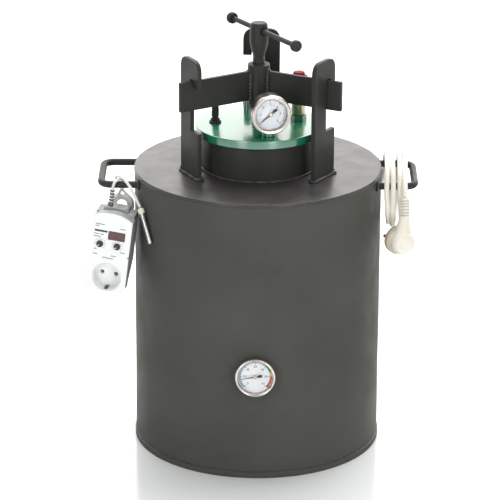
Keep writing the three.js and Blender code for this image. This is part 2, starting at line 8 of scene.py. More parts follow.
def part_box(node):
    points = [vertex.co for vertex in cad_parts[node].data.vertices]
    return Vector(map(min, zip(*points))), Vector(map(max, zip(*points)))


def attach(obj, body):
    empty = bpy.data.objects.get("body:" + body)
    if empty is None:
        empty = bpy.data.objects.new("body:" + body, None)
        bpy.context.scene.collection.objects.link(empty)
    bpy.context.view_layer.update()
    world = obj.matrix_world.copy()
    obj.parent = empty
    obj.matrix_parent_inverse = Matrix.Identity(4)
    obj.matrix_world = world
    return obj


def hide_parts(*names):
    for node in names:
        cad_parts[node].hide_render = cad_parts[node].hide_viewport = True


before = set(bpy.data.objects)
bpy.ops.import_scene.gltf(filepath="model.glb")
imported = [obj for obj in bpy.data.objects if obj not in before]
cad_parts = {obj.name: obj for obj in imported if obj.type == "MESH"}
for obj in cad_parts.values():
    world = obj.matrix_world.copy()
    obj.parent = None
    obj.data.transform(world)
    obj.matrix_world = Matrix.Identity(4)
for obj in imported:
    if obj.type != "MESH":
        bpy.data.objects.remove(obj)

# Every helper takes millimetres in the canner's frame and makes its mesh in metres.
MM = 0.001
TAU = 2 * math.pi
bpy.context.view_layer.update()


def span(node):
    low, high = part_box(node)
    return Vector(low) / MM, Vector(high) / MM


def middle(node):
    low, high = span(node)
    return (low + high) / 2


def shift(x=0.0, y=0.0, z=0.0):
    return Matrix.Translation((x, y, z))


def foot_of(node):
    """The place on the floor straight below the middle of a node."""
    centre = middle(node)
    return shift(centre.x, centre.y)


def turn(degrees, axis="Z"):
    return Matrix.Rotation(math.radians(degrees), 4, axis)


FRONT = turn(90, "X")  # +Z of a lathe or a dial turned to face -Y
BACK = turn(-90, "X")
RIGHT = turn(90, "Y")
PIN_X = (-9.5, 9.5)  # mains pins and their holes, either side of the middle

# ---------------------------------------------------------------- camera

LENS_MM, SENSOR_MM = 219.3552, 36
CAMERA_AT = Vector((0, -3.872, 1.662))
PITCH, ROLL, YAW = math.radians(19.87), math.radians(0.322), math.radians(0.152)


def make_camera():
    right = Vector((1, 0, 0))
    ahead = Vector((0, math.cos(PITCH), -math.sin(PITCH)))
    up = right.cross(ahead)
    rolled_right = right * math.cos(ROLL) + up * math.sin(ROLL)
    rolled_up = up * math.cos(ROLL) - right * math.sin(ROLL)
    axes = Matrix((rolled_right, rolled_up, -ahead)).transposed()
    data = bpy.data.cameras.new("camera")
    data.sensor_width = SENSOR_MM
    data.lens = LENS_MM
    data.clip_start, data.clip_end = 0.1, 50
    camera = bpy.data.objects.new("camera", data)
    camera.matrix_world = Matrix.Translation(CAMERA_AT) @ turn(math.degrees(YAW)) @ axes.to_4x4()
    bpy.context.collection.objects.link(camera)
    bpy.context.scene.camera = camera


make_camera()

# ---------------------------------------------------------------- materials


class Shader:
    """A Principled material whose procedural nodes are added one call at a time."""

    def __init__(self, name, color, rough, metal=0.0, coat=0.0, coat_rough=0.05, transmission=0.0, ior=1.5):
        self.material = bpy.data.materials.new(name)
        self.material.use_nodes = True
        self.nodes = self.material.node_tree.nodes
        self.links = self.material.node_tree.links
        self.main = self.nodes["Principled BSDF"]
        self.color = (*color, 1)
        self.set("Base Color", self.color)
        self.set("Roughness", rough)
        self.set("Metallic", metal)
        self.set("Coat Weight", coat)
        self.set("Coat Roughness", coat_rough)
        self.set("Transmission Weight", transmission)
        self.set("IOR", ior)
        self.normal = None
        self.shade = None

    def set(self, name, value):
        self.main.inputs[name].default_value = value

    def pattern(self, scale, detail, stretch=(1, 1, 1)):
        where = self.nodes.new("ShaderNodeTexCoord")
        mapping = self.nodes.new("ShaderNodeMapping")
        mapping.inputs["Scale"].default_value = stretch
        texture = self.nodes.new("ShaderNodeTexNoise")
        texture.inputs["Scale"].default_value = scale
        texture.inputs["Detail"].default_value = detail
        self.links.new(where.outputs["Object"], mapping.inputs["Vector"])
        self.links.new(mapping.outputs["Vector"], texture.inputs["Vector"])
        return texture.outputs[0]

    def ramp(self, value, low, high, start=0.35, end=0.65):
        node = self.nodes.new("ShaderNodeMapRange")
        node.inputs["From Min"].default_value = start
        node.inputs["From Max"].default_value = end
        node.inputs["To Min"].default_value = low
        node.inputs["To Max"].default_value = high
        self.links.new(value, node.inputs["Value"])
        return node.outputs["Result"]

    def tint(self, value, other, amount=1.0, start=0.35, end=0.65):
        """Mixes the colour so far towards other where the pattern is high."""
        node = self.nodes.new("ShaderNodeMix")
        node.data_type = "RGBA"
        self.links.new(self.ramp(value, 0, amount, start, end), node.inputs["Factor"])
        if self.shade is None:
            node.inputs["A"].default_value = self.color
        else:
            self.links.new(self.shade, node.inputs["A"])
        node.inputs["B"].default_value = (*other, 1)
        self.shade = node.outputs["Result"]
        self.links.new(self.shade, self.main.inputs["Base Color"])
        return self

    def worn(self, value, low, high, start=0.35, end=0.65):
        self.links.new(self.ramp(value, low, high, start, end), self.main.inputs["Roughness"])
        return self

    def bump(self, value, distance, strength=0.5):
        """distance is in metres."""
        node = self.nodes.new("ShaderNodeBump")
        node.inputs["Distance"].default_value = distance
        node.inputs["Strength"].default_value = strength
        self.links.new(value, node.inputs["Height"])
        if self.normal is not None:
            self.links.new(self.normal, node.inputs["Normal"])
        self.normal = node.outputs["Normal"]
        self.links.new(self.normal, self.main.inputs["Normal"])
        return self


def black_paint(name, color, rough, ior):
    """Satin heat-resistant paint sprayed on steel: fine orange peel, faint clouds and dust."""
    s = Shader(name, color, rough, ior=ior)
    clouds = s.pattern(9, 5)
    specks = s.pattern(900, 2)
    s.tint(clouds, tuple(c * 1.35 for c in color), 0.8, 0.3, 0.7)
    s.tint(specks, tuple(c * 1.9 for c in color), 0.5, 0.6, 0.75)
    s.worn(s.pattern(35, 6), rough - 0.05, rough + 0.09)
    s.bump(s.pattern(420, 3), 0.0004, 0.22)
    return s.bump(s.pattern(14, 2), 0.002, 0.08).material


def green_enamel(name, color=(0.005, 0.15, 0.07)):
    s = Shader(name, color, 0.22, coat=0.5, coat_rough=0.1, ior=2.1)
    s.tint(s.pattern(22, 4), (0.012, 0.2, 0.1), 0.7)
    s.worn(s.pattern(60, 5), 0.18, 0.26)
    return s.bump(s.pattern(260, 3), 0.0003, 0.06).material


def metal(name, color, rough, stretch=(1, 1, 1)):
    s = Shader(name, color, rough, metal=1.0)
    grain = s.pattern(700, 4, stretch)
    s.tint(grain, tuple(c * 0.78 for c in color), 0.6)
    s.worn(grain, rough * 0.75, rough * 1.4)
    return s.bump(grain, 0.0001, 0.2).material


def plastic(name, color, rough=0.4, grain=1400, depth=0.00008, shift_to=None, ior=1.5):
    s = Shader(name, color, rough, ior=ior)
    s.tint(s.pattern(30, 4), shift_to or tuple(c * 0.9 for c in color), 0.6)
    s.worn(s.pattern(90, 3), rough - 0.06, rough + 0.08)
    return s.bump(s.pattern(grain, 2), depth, 0.35).material


def printed(name, color, rough=0.5):
    s = Shader(name, color, rough)
    return s.tint(s.pattern(500, 2), tuple(c * 0.93 for c in color), 0.6).material


def clear(name):
    s = Shader(name, (1, 1, 1), 0.02, transmission=1.0, ior=1.2)
    s.worn(s.pattern(200, 3), 0.02, 0.04)
    return s.material


MATERIALS = {
    "shell": black_paint("black_paint_shell", (0.06, 0.06, 0.054), 0.5, 1.15),
    "deck": black_paint("black_paint_deck", (0.033, 0.031, 0.031), 0.34, 1.45),
    "frame": black_paint("black_paint_frame", (0.03, 0.031, 0.028), 0.4, 1.22),
    "weld": black_paint("black_paint_weld", (0.034, 0.034, 0.031), 0.3, 1.4),
    "green": green_enamel("green_enamel"),
    "steel": metal("turned_steel", (0.62, 0.61, 0.6), 0.28),
    "chrome": metal("plated_bezel", (0.66, 0.6, 0.57), 0.27),
    "brass": metal("machined_brass", (0.62, 0.5, 0.36), 0.26, (1, 1, 12)),
    "rubber": plastic("rubber", (0.012, 0.012, 0.012), 0.75),
    "black": plastic("black_plastic", (0.014, 0.014, 0.015), 0.38),
    "white": plastic("white_plastic", (0.82, 0.83, 0.83), 0.34, shift_to=(0.76, 0.78, 0.79)),
    "grey": plastic("grey_plastic", (0.36, 0.37, 0.37), 0.42),
    "pale_grey": plastic("pale_grey_plastic", (0.36, 0.37, 0.37), 0.4),
    "cream": plastic("cream_pvc", (0.8, 0.77, 0.69), 0.4, 900, 0.0001, (0.7, 0.66, 0.56)),
    "plug_face": plastic("plug_face_cream", (0.5, 0.42, 0.32), 0.45, 900, 0.0001, (0.44, 0.37, 0.28)),
    "sensor": plastic("white_silicone", (0.74, 0.74, 0.72), 0.38, 900, 0.0001, (0.66, 0.65, 0.62)),
    "red": plastic("red_plastic", (0.24, 0.006, 0.014), 0.5, ior=1.2),
    "dial": printed("dial_card", (0.94, 0.96, 1.0)),
    "ink": printed("ink", (0.03, 0.04, 0.06)),
    "soft_ink": printed("soft_ink", (0.16, 0.17, 0.19)),
    "blue_ink": printed("blue_ink", (0.42, 0.5, 0.6)),
    "green_ink": printed("green_ink", (0.05, 0.38, 0.14)),
    "yellow_ink": printed("yellow_ink", (0.85, 0.6, 0.05)),
    "red_ink": printed("red_ink", (0.62, 0.06, 0.04)),
    "glass": clear("dial_glass"),
    "filter": plastic("display_filter", (0.075, 0.012, 0.016), 0.12, 300, 0.00002),
    "copper": metal("dark_contact", (0.12, 0.11, 0.1), 0.4),
}

# ---------------------------------------------------------------- mesh helpers


def publish(name, bm, finish, at=None, body="canner", stands_for=(), bevel=0.0, sharp=35):
    """Turns a bmesh into a piece with its finish and body, and hides the CAD nodes that it stands for."""
    bmesh.ops.remove_doubles(bm, verts=bm.verts, dist=1e-4)
    bmesh.ops.recalc_face_normals(bm, faces=bm.faces)
    mesh = bpy.data.meshes.new(name)
    bm.to_mesh(mesh)
    bm.free()
    mesh.transform(Matrix.Scale(MM, 4) @ (at or Matrix()))
    mesh.materials.append(MATERIALS[finish])
    obj = bpy.data.objects.new(name, mesh)
    bpy.context.collection.objects.link(obj)
    for polygon in mesh.polygons:
        polygon.use_smooth = True
    mesh.set_sharp_from_angle(angle=math.radians(sharp))
    if bevel:
        modifier = obj.modifiers.new("bevel", "BEVEL")
        modifier.width = bevel * MM
        modifier.segments = 3
        modifier.limit_method = "ANGLE"
        modifier.angle_limit = math.radians(sharp)
        modifier.harden_normals = True
    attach(obj, body)
    if stands_for:
        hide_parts(*stands_for)
    return obj


def oblong(x0, z0, x1, z1):
    """The outline of a rectangle between two opposite corners."""
    return [(x0, z0), (x1, z0), (x1, z1), (x0, z1)]


def fillet(points, radius, steps=4, closed=False):
    """Rounds the corners of a 2-D line. radius is a number, or one number for each point."""
    count = len(points)
    radii = radius if isinstance(radius, (list, tuple)) else [radius] * count
    rounded = []
    for i, point in enumerate(points):
        p = Vector(point)
        if radii[i] <= 0 or (not closed and i in (0, count - 1)):
            rounded.append(tuple(p))
            continue
        a, b = Vector(points[i - 1]) - p, Vector(points[(i + 1) % count]) - p
        if a.length < 1e-6 or b.length < 1e-6:
            rounded.append(tuple(p))
            continue
        half = a.angle(b) / 2
        if half > math.pi / 2 - 0.02:
            rounded.append(tuple(p))
            continue
        cut = min(radii[i] / math.tan(half), 0.48 * a.length, 0.48 * b.length)
        start, end = p + a.normalized() * cut, p + b.normalized() * cut
        for k in range(steps + 1):
            t = k / steps
            rounded.append(tuple(start * (1 - t) ** 2 + p * 2 * t * (1 - t) + end * t * t))
    return rounded


def lathe(profile, steps=96, closed=False, wobble=None):
    """A profile of (radius, height) turned about Z. wobble(angle, r, z) gives a new radius."""
    bm = bmesh.new()
    rings = []
    for r, z in profile:
        if r < 1e-5:
            rings.append([bm.verts.new((0, 0, z))])
            continue
        ring = []
        for i in range(steps):
            a = TAU * i / steps
            radius = wobble(a, r, z) if wobble else r
            ring.append(bm.verts.new((radius * math.cos(a), radius * math.sin(a), z)))
        rings.append(ring)
    pairs = list(zip(rings, rings[1:]))
    if closed:
        pairs.append((rings[-1], rings[0]))
    for low, high in pairs:
        if len(low) == 1 and len(high) == 1:
            continue
        for i in range(steps):
            j = (i + 1) % steps
            corners = [low[i % len(low)], low[j % len(low)], high[j % len(high)], high[i % len(high)]]
            unique = list(dict.fromkeys(corners))
            if len(unique) > 2:
                bm.faces.new(unique)
    return bm


def join_rings(bm, rings, closed=False):
    """Faces between each ring of vertices and the next, and over both ends unless the rings close up."""
    pairs = list(zip(rings, rings[1:])) + ([(rings[-1], rings[0])] if closed else [])
    for low, high in pairs:
        for k in range(len(low)):
            j = (k + 1) % len(low)
            bm.faces.new((low[k], low[j], high[j], high[k]))
    if not closed:
        bm.faces.new(list(reversed(rings[0])))
        bm.faces.new(rings[-1])


def prism(outline, depth, start=0.0):
    """A closed outline in X and Z, from Y = start to start + depth."""
    bm = bmesh.new()
    front = [bm.verts.new((x, start, z)) for x, z in outline]
    back = [bm.verts.new((x, start + depth, z)) for x, z in outline]
    bm.faces.new(front)
    bm.faces.new(list(reversed(back)))
    for i in range(len(outline)):
        j = (i + 1) % len(outline)
        bm.faces.new((front[i], back[i], back[j], front[j]))
    return bm


def box(low, high):
    (x0, y0, z0), (x1, y1, z1) = low, high
    return prism(oblong(x0, z0, x1, z1), y1 - y0, y0)


def smooth_path(points, step=2.0):
    """A Catmull-Rom curve through points, resampled to even steps."""
    p = [Vector(q) for q in points]
    ends = [p[0] * 2 - p[1]] + p + [p[-1] * 2 - p[-2]]
    dense = []
    for a, b, c, d in zip(ends, ends[1:], ends[2:], ends[3:]):
        for k in range(16):
            t = k / 16
            dense.append(0.5 * (2 * b + (c - a) * t + (2 * a - 5 * b + 4 * c - d) * t * t
                                + (3 * b - a - 3 * c + d) * t ** 3))
    dense.append(p[-1])
    return resample(dense, step)


def resample(points, step):
    lengths = [0.0]
    for a, b in zip(points, points[1:]):
        lengths.append(lengths[-1] + (b - a).length)
    count = max(2, round(lengths[-1] / step))
    even, k = [], 0
    for i in range(count + 1):
        target = lengths[-1] * i / count
        while k < len(points) - 2 and lengths[k + 1] < target:
            k += 1
        reach = lengths[k + 1] - lengths[k]
        t = (target - lengths[k]) / reach if reach else 0
        even.append(points[k].lerp(points[k + 1], min(1, max(0, t))))
    return even


def sweep(points, radius, sides=16, closed=False, section=None):
    """A round bar along points. radius is a number or a function of (index, angle)."""
    bm = bmesh.new()
    count = len(points)
    rings = []
    normal = None
    for i, p in enumerate(points):
        before = points[i - 1] if i or closed else points[0]
        after = points[(i + 1) % count] if i < count - 1 or closed else points[-1]
        ahead = (after - before).normalized()
        if normal is None:
            normal = ahead.orthogonal().normalized() if section is None else section
        normal = (normal - ahead * normal.dot(ahead)).normalized()
        side = ahead.cross(normal)
        ring = []
        for k in range(sides):
            a = TAU * k / sides
            r = radius(i, a) if callable(radius) else radius
            ring.append(bm.verts.new(p + (normal * math.cos(a) + side * math.sin(a)) * r))
        rings.append(ring)
    join_rings(bm, rings, closed)
    return bm


def bead(name, points, width, body="canner", closed=False, seed=0.0, at=None, ripple=3.2, rough=1.0):
    """A lumpy weld bead along points, with the overlapping scales of a hand weld."""
    path = resample([Vector(p) for p in points] + ([Vector(points[0])] if closed else []), 0.7)
    if closed:
        path = path[:-1]
    lumps = []
    for i, p in enumerate(path):
        scale = 0.5 + 0.5 * math.cos(TAU * ((i * 0.7 / ripple) % 1.0))
        lump = noise.noise(p * 0.11 + Vector((seed, 0, 0)))
        lumps.append(width * (0.86 - 0.14 * rough + 0.25 * rough * scale + 0.6 * rough * lump))
    if not closed:
        for k in range(3):
            lumps[k] *= 0.45 + 0.2 * k
            lumps[-1 - k] *= 0.45 + 0.2 * k
    bm = sweep(path, lambda i, a: lumps[i] * (1 + 0.08 * math.sin(3 * a + i * 0.4)), 8, closed)
    return publish(name, bm, "weld", at, body, sharp=80)


def carve(obj, *cutters):
    """Cuts bmesh solids, given in millimetres in the object's own frame, out of a piece."""
    for bm, at in cutters:
        bmesh.ops.recalc_face_normals(bm, faces=bm.faces)
        mesh = bpy.data.meshes.new("cutter")
        bm.to_mesh(mesh)
        bm.free()
        mesh.transform(Matrix.Scale(MM, 4) @ at)
        tool = bpy.data.objects.new("cutter", mesh)
        bpy.context.collection.objects.link(tool)
        modifier = obj.modifiers.new("cut", "BOOLEAN")
        modifier.operation = "DIFFERENCE"
        modifier.solver = "EXACT"
        modifier.object = tool
        while obj.modifiers[0] != modifier:
            obj.modifiers.move(obj.modifiers.find(modifier.name), 0)
        keep = [m for m in obj.modifiers if m != modifier]
        for m in keep:
            m.show_viewport = False
        graph = bpy.context.evaluated_depsgraph_get()
        made = bpy.data.meshes.new_from_object(obj.evaluated_get(graph))
        for m in keep:
            m.show_viewport = True
        obj.modifiers.remove(modifier)
        obj.data = made
        bpy.data.objects.remove(tool)
    for polygon in obj.data.polygons:
        polygon.use_smooth = True
    obj.data.set_sharp_from_angle(angle=math.radians(35))
    return obj


def label(name, text, size, finish, at, body="canner"):
    """A small printed figure, centred, in the X-Y plane and facing +Z before it is placed."""
    curve = bpy.data.curves.new(name, "FONT")
    curve.body = text
    curve.size = size
    curve.align_x = curve.align_y = "CENTER"
    curve.resolution_u = 3
    holder = bpy.data.objects.new(name, curve)
    bpy.context.collection.objects.link(holder)
    graph = bpy.context.evaluated_depsgraph_get()
    flat = bpy.data.meshes.new_from_object(holder.evaluated_get(graph))
    bpy.data.objects.remove(holder)
    bm = bmesh.new()
    bm.from_mesh(flat)
    bmesh.ops.remove_doubles(bm, verts=bm.verts, dist=1e-4)
    thick = bmesh.ops.extrude_face_region(bm, geom=bm.faces[:])
    raised = [v for v in thick["geom"] if isinstance(v, bmesh.types.BMVert)]
    bmesh.ops.translate(bm, vec=(0, 0, 0.12), verts=raised)
    return publish(name, bm, finish, at, body, sharp=30)


def circle(radius, height, count):
    angles = [TAU * i / count for i in range(count)]
    return [Vector((radius * math.cos(a), radius * math.sin(a), height)) for a in angles]


def tube_ring(inner, outer, low, high, soft=0.3, steps=96):
    return lathe(fillet(oblong(inner, low, outer, high), soft, 3, True), steps, True)


# ---------------------------------------------------------------- cords

MAINS_LEAD = [
    (56.4, 186, 40), (66, 186, 38.9), (78, 184.6, 34.6), (90, 180, 27.6), (102, 171, 18.8), (113, 159.6, 11),
    (122, 148, 7.8), (131, 136.2, 10.4), (137.6, 127.6, 19.4), (140.6, 123.4, 30), (141.2, 122, 44),
    (141.4, 121, 72), (141.4, 120, 120), (141.6, 118, 160), (143, 115, 200), (146, 109, 240),
    (151, 99.5, 276), (158, 88, 304), (164.2, 79, 324), (169.4, 73, 339), (171.4, 70.4, 350),
]
MAINS_DROP = [
    (197.9, 28, 391.5), (196.8, 8, 391.5), (195.8, -12, 391.5), (194.8, -32, 391), (194.2, -46, 388),
    (193.8, -58, 381.6), (193.8, -67.6, 373.6), (194, -72.4, 364.8),
]
SENSOR_OUT = [
    (-191.8, -57.4, 367.9), (-191.4, -57.6, 371.5), (-190, -56.2, 375.4), (-187.2, -53, 378),
    (-183.6, -48.4, 378.7), (-180.4, -43.4, 377), (-178.6, -39.4, 372.6), (-178.6, -37.6, 367),
    (-180.4, -36.8, 361.8), (-183, -36.2, 358),
]
SENSOR_IN = [
    (-180.4, -30.4, 358), (-184, -30.6, 363.6), (-187, -32, 369), (-188.2, -34.8, 374), (-188, -40.2, 379.2),
    (-185.8, -45.6, 382.4), (-182.4, -50.2, 383), (-178.2, -53.8, 381.4), (-173.6, -57, 377.2),
    (-169, -60.2, 371.6), (-164.4, -64.6, 364.4), (-160, -69.6, 356.6), (-155.6, -74.8, 348.6),
]


def rounded_loop(half_width, top, bottom, corner, count):
    """Points (y, z) once round a rectangle with round corners, from the middle of its rear side upward."""
    centres = oblong(1, top - corner, -1, bottom + corner)
    line = [Vector((0, half_width, (top + bottom) / 2))]
    for quarter, (side, z) in enumerate(centres):
        for k in range(13):
            a = math.radians(90 * quarter + 7.5 * k)
            line.append(Vector((0, side * (half_width - corner) + corner * math.cos(a),
                                z + corner * math.sin(a))))
    line.append(line[0])
    even = resample(line, sum((b - a).length for a, b in zip(line, line[1:])) / count)
    return [(p.y, p.z) for p in even[:-1]]


def cord_curve(name, points, radius, finish, nodes):
    curve = bpy.data.curves.new(name, "CURVE")
    curve.dimensions = "3D"
    spline = curve.splines.new("POLY")
    spline.points.add(len(points) - 1)
    for slot, p in zip(spline.points, points):
        slot.co = (*(p * MM), 1)
    curve.bevel_depth = radius * MM
    curve.bevel_resolution = 5
    curve.use_fill_caps = True
    curve.materials.append(MATERIALS[finish])
    obj = bpy.data.objects.new(name, curve)
    bpy.context.collection.objects.link(obj)
    spline.use_smooth = True
    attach(obj, "canner")
    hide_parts(*nodes)
    return obj


def make_mains_cord():
    radius, turns, per_turn, pitch = 3.5, 3, 28, 8.9
    hang = shift(x=165.6) @ turn(-3)
    loop = rounded_loop(62, 392.2, 313, 35, per_turn)
    coil = []
    for i in range(1, turns * per_turn + 5):
        y, z = loop[i % per_turn]
        t = i / per_turn
        low, high = max(0.0, (365 - z) / 52), max(0.0, (z - 372) / 20)
        # Each turn hangs a little differently, and is free of the others at the foot and at the crown
        away = 1.9 * math.sin(2.6 * t + 0.5) * low + 1.1 * math.sin(4.1 * t) * high
        sag = 2.4 * math.sin(2.3 * t) * low + 1.5 * math.sin(5.2 * t + 1) * high
        x = min(radius + pitch * t, pitch * turns + radius) + (away if t < turns - 0.2 else 0.0)
        coil.append(hang @ Vector((max(x, radius + 0.1), y, z + sag)))
    points = smooth_path(MAINS_LEAD + coil + MAINS_DROP, 3)
    cord = cord_curve("mains_cord", points, radius, "cream",
                      ["mains_cord_lead", "mains_coil", "mains_cord_drop"])
    return cord, points


def make_sensor_cord():
    low, high = span("sensor_coil")
    centre = (low + high) / 2
    turns, per_turn = 5, 30
    cable = 1.9
    slot_radius = cable / math.sin(math.pi / turns) + 0.05
    mean = (high.x - low.x) / 2 - slot_radius - cable
    start, end = math.radians(105), math.radians(32) + TAU * turns
    coil = []
    count = round((end - start) / TAU * per_turn)
    for i in range(count + 1):
        a = start + (end - start) * i / count
        slot_angle = (a - start) / turns + 0.3
        r = mean + slot_radius * math.cos(slot_angle)
        y = centre.y + slot_radius * math.sin(slot_angle)
        coil.append((centre.x + r * math.cos(a), y, centre.z + r * math.sin(a)))
    points = smooth_path(SENSOR_OUT + coil + SENSOR_IN, 1.6)
    cord = cord_curve("sensor_cord", points, cable, "sensor",
                      ["sensor_cord_out", "sensor_coil", "sensor_cord_in"])
    return cord, points


mains_cord, mains_points = make_mains_cord()
sensor_cord, sensor_points = make_sensor_cord()


# ---------------------------------------------------------------- vessel


def make_vessel():
    low, high = span("base_plate")
    r = high.x
    profile = oblong(0, low.z, r, high.z)
    publish("base_plate_skin", lathe(fillet(profile, [0, 1.2, 1.0, 0]), 192), "shell",
            stands_for=["base_plate"])

    low, high = span("vessel_shell")
    r = (high.x - low.x) / 2
    wall = 2.5

    def ripple(a, radius, z):
        """Rolled sheet is never quite round: a few tenths of a millimetre show in the highlights."""
        return radius + 0.3 * noise.noise(Vector((math.cos(a), math.sin(a), z / 150)) * 2.2)

    rows = [(r, low.z + (high.z - low.z) * k / 24) for k in range(25)]
    skin = lathe([(r - wall, low.z)] + rows + [(r - wall, high.z)], 192, True, ripple)
    publish("vessel_shell_skin", skin, "shell", stands_for=["vessel_shell"])
    bead("base_seam", circle(r + 0.3, low.z - 0.2, 128), 1.0, closed=True, seed=3, rough=0.25)
    bead("long_seam", [(r * math.cos(2.2), r * math.sin(2.2), z) for z in (12, 200, 376)], 1.5, seed=9,
         rough=0.5)

    low, high = span("top_plate")
    edge, hole = high.x, span("mouth_ring")[1].x - 4
    plate = oblong(hole, low.z, edge, high.z)
    publish("top_plate_skin", lathe(fillet(plate, [0, 0.6, 1.5, 0], 5, True), 192, True), "deck",
            stands_for=["top_plate"])
    bead("rim_seam", circle(edge - 0.7, low.z - 0.5, 128), 1.3, closed=True, seed=5, rough=0.6)
    for k, a in enumerate((2.86, 2.98, 3.07, 3.2, 0.19, 0.44)):
        lump = [((edge - 0.4) * math.cos(a + d), (edge - 0.4) * math.sin(a + d), high.z - 1.6)
                for d in (0, 0.012, 0.024)]
        bead(f"rim_tack_{k}", lump, 2.0, seed=k)

    low, high = span("mouth_ring")
    publish("mouth_ring_skin", tube_ring(high.x - 4, high.x, low.z, high.z, 0.5, 128), "frame",
            stands_for=["mouth_ring"])
    bead("mouth_weld", circle(high.x + 0.8, low.z + 0.6, 128), 2.4, closed=True, seed=12)
    low, high = span("lid_gasket")
    publish("gasket_ring", tube_ring(high.x - 3.5, high.x, low.z, high.z, 0.8, 96), "rubber",
            stands_for=["lid_gasket"])


def make_handles():
    for side, node in ((-1, "left_handle"), (1, "right_handle")):
        low, high = span(node)
        bar = (high.z - low.z) / 2
        reach = max(abs(low.x), abs(high.x)) - bar
        leg = high.y - bar
        z = (low.z + high.z) / 2
        start = math.sqrt(165 ** 2 - leg ** 2) - 1.5
        line = fillet(oblong(start, -leg, reach, leg), 16, 10)
        path = resample([Vector((side * x, y, z)) for x, y in line], 2.5)
        publish(node + "_bar", sweep(path, bar, 20), "frame", stands_for=[node])
        for y in (-leg, leg):
            ring = [Vector((side * (start + 2.2), y + (bar + 0.4) * math.cos(a),
                            z + (bar + 0.4) * math.sin(a)))
                    for a in [TAU * k / 24 for k in range(24)]]
            bead(f"{node}_weld_{'front' if y < 0 else 'rear'}", ring, 2.0, closed=True, seed=y + side,
                 ripple=2.6)


# ---------------------------------------------------------------- clamp

CLAMP_TURN, POST_TURN = 92.6, 87.9
STATIONS = ("rear", "left", "right")
POST_INNER, POST_OUTER, STEM_SIDE, OPEN_SIDE = 97, 103, 25, -25
BAR_Z, BAR_TURN = 571.3, turn(32)


def station(first, i):
    return turn(first - 90 + 120 * i)


def make_posts():
    foot, head = span("hook_post_rear")[0].z, span("hook_post_rear")[1].z
    tooth, notch, shelf, round_r = 508, 518.5, 448, 16
    pocket_low, pocket_high = -13.2, -3.2
    outline = [
        (OPEN_SIDE, foot), (STEM_SIDE, foot), (STEM_SIDE, head), (OPEN_SIDE, head), (OPEN_SIDE, tooth),
        (pocket_low, tooth), (pocket_low, notch), (pocket_high, notch), (pocket_high, shelf),
        (OPEN_SIDE, shelf),
    ]
    corner = [0.6, 0.6, round_r, round_r, 1.2, 0.8, 2.2, 2.2, 2.2, 1.2]
    for i, name in enumerate(STATIONS):
        plate = prism(fillet(outline, corner, 8, True), POST_OUTER - POST_INNER, POST_INNER)
        publish(f"hook_post_{name}_plate", plate, "frame", station(POST_TURN, i),
                stands_for=["hook_post_" + name], bevel=0.7)
        loop = []
        inset = 0.9
        corners = oblong(OPEN_SIDE - inset, POST_INNER - inset, STEM_SIDE + inset, POST_OUTER + inset)
        for x, y in fillet(corners, 1.5, 3, True):
            loop.append((x, y, foot + 0.9))
        bead(f"post_weld_{name}", loop, 2.9, closed=True, seed=20 + i * 7, at=station(POST_TURN, i),
             ripple=4.2)
        for k, x in enumerate((-27.4, 27.4)):
            blob = [(x - 1.2, 98, foot + 1.4), (x, 100, foot + 2.4), (x + 1.2, 102, foot + 1.4)]
            bead(f"post_blob_{name}_{k}", blob, 3.2, seed=31 + i * 3 + k, at=station(POST_TURN, i))


def make_clamp():
    hub_low, hub_high = span("clamp_hub")
    r = hub_high.x
    top, bottom, end = 517, 477, 122.5
    for i, name in enumerate(STATIONS):
        edge = oblong(-3, bottom, 3, top)
        arm = prism(edge, end - r - 0.3, r + 0.3)
        publish(f"clamp_arm_{name}_bar", arm, "frame", station(CLAMP_TURN, i), "clamp",
                ["clamp_arm_" + name], 0.9)
        for side in (-1, 1):
            seam = [(side * 4.2, r + 0.6, z) for z in (bottom - 0.5, bottom + 14, top - 14, top - 0.5)]
            bead(f"arm_weld_{name}_{'a' if side < 0 else 'b'}", seam, 3.4, "clamp", seed=40 + i * 5 + side,
                 at=station(CLAMP_TURN, i), ripple=4.6)
        over = [(-4.2, r + 0.6, top + 0.2), (0, r - 0.6, top + 0.8), (4.2, r + 0.6, top + 0.2)]
        bead(f"arm_cap_weld_{name}", over, 2.6, "clamp", seed=60 + i, at=station(CLAMP_TURN, i))
    bore = oblong(8.4, hub_low.z, r, hub_high.z)
    publish("clamp_hub_nut", lathe(fillet(bore, 1.0, 4, True), 64, True), "frame", None, "clamp",
            ["clamp_hub"])


def make_screw():
    low, high = span("clamp_screw")
    pitch, shaft = 4.0, 7.72

    def thread(a, r, z):
        if abs(r - shaft) > 0.01:
            return r
        wave = math.sin(TAU * (z / pitch) - a)
        return r + 0.36 * max(-0.8, min(0.8, 1.6 * wave))

    rows = [(shaft, 450 + k * 0.5) for k in range(167)]
    head = [
        (7, 534), (8.4, 539), (10.6, 546), (12, 553), (12.4, 558), (12.2, 566), (11.8, 574),
        (11.4, high.z - 3.4), (10.3, high.z - 0.9), (8.6, high.z), (0, high.z),
    ]
    neck = [(7.3, 533.6)]
    tip = [(0, low.z), (5.8, low.z), (7.2, low.z + 1.8)]
    bm = lathe(tip + rows + neck + fillet(head, 3, 4), 72, wobble=thread)
    screw = publish("clamp_screw_turned", bm, "frame", None, "screw", ["clamp_screw"])
    hole = lathe([(0, -22), (7, -22), (7, -12.5), (3.9, -9.6), (3.9, 9.6), (7, 12.5), (7, 22), (0, 22)], 32)
    carve(screw, (hole, shift(z=BAR_Z) @ BAR_TURN @ BACK))


def hammered(a, r, z):
    return r * (1 + 0.02 * noise.noise(Vector((math.cos(a), math.sin(a), z * 0.3))))


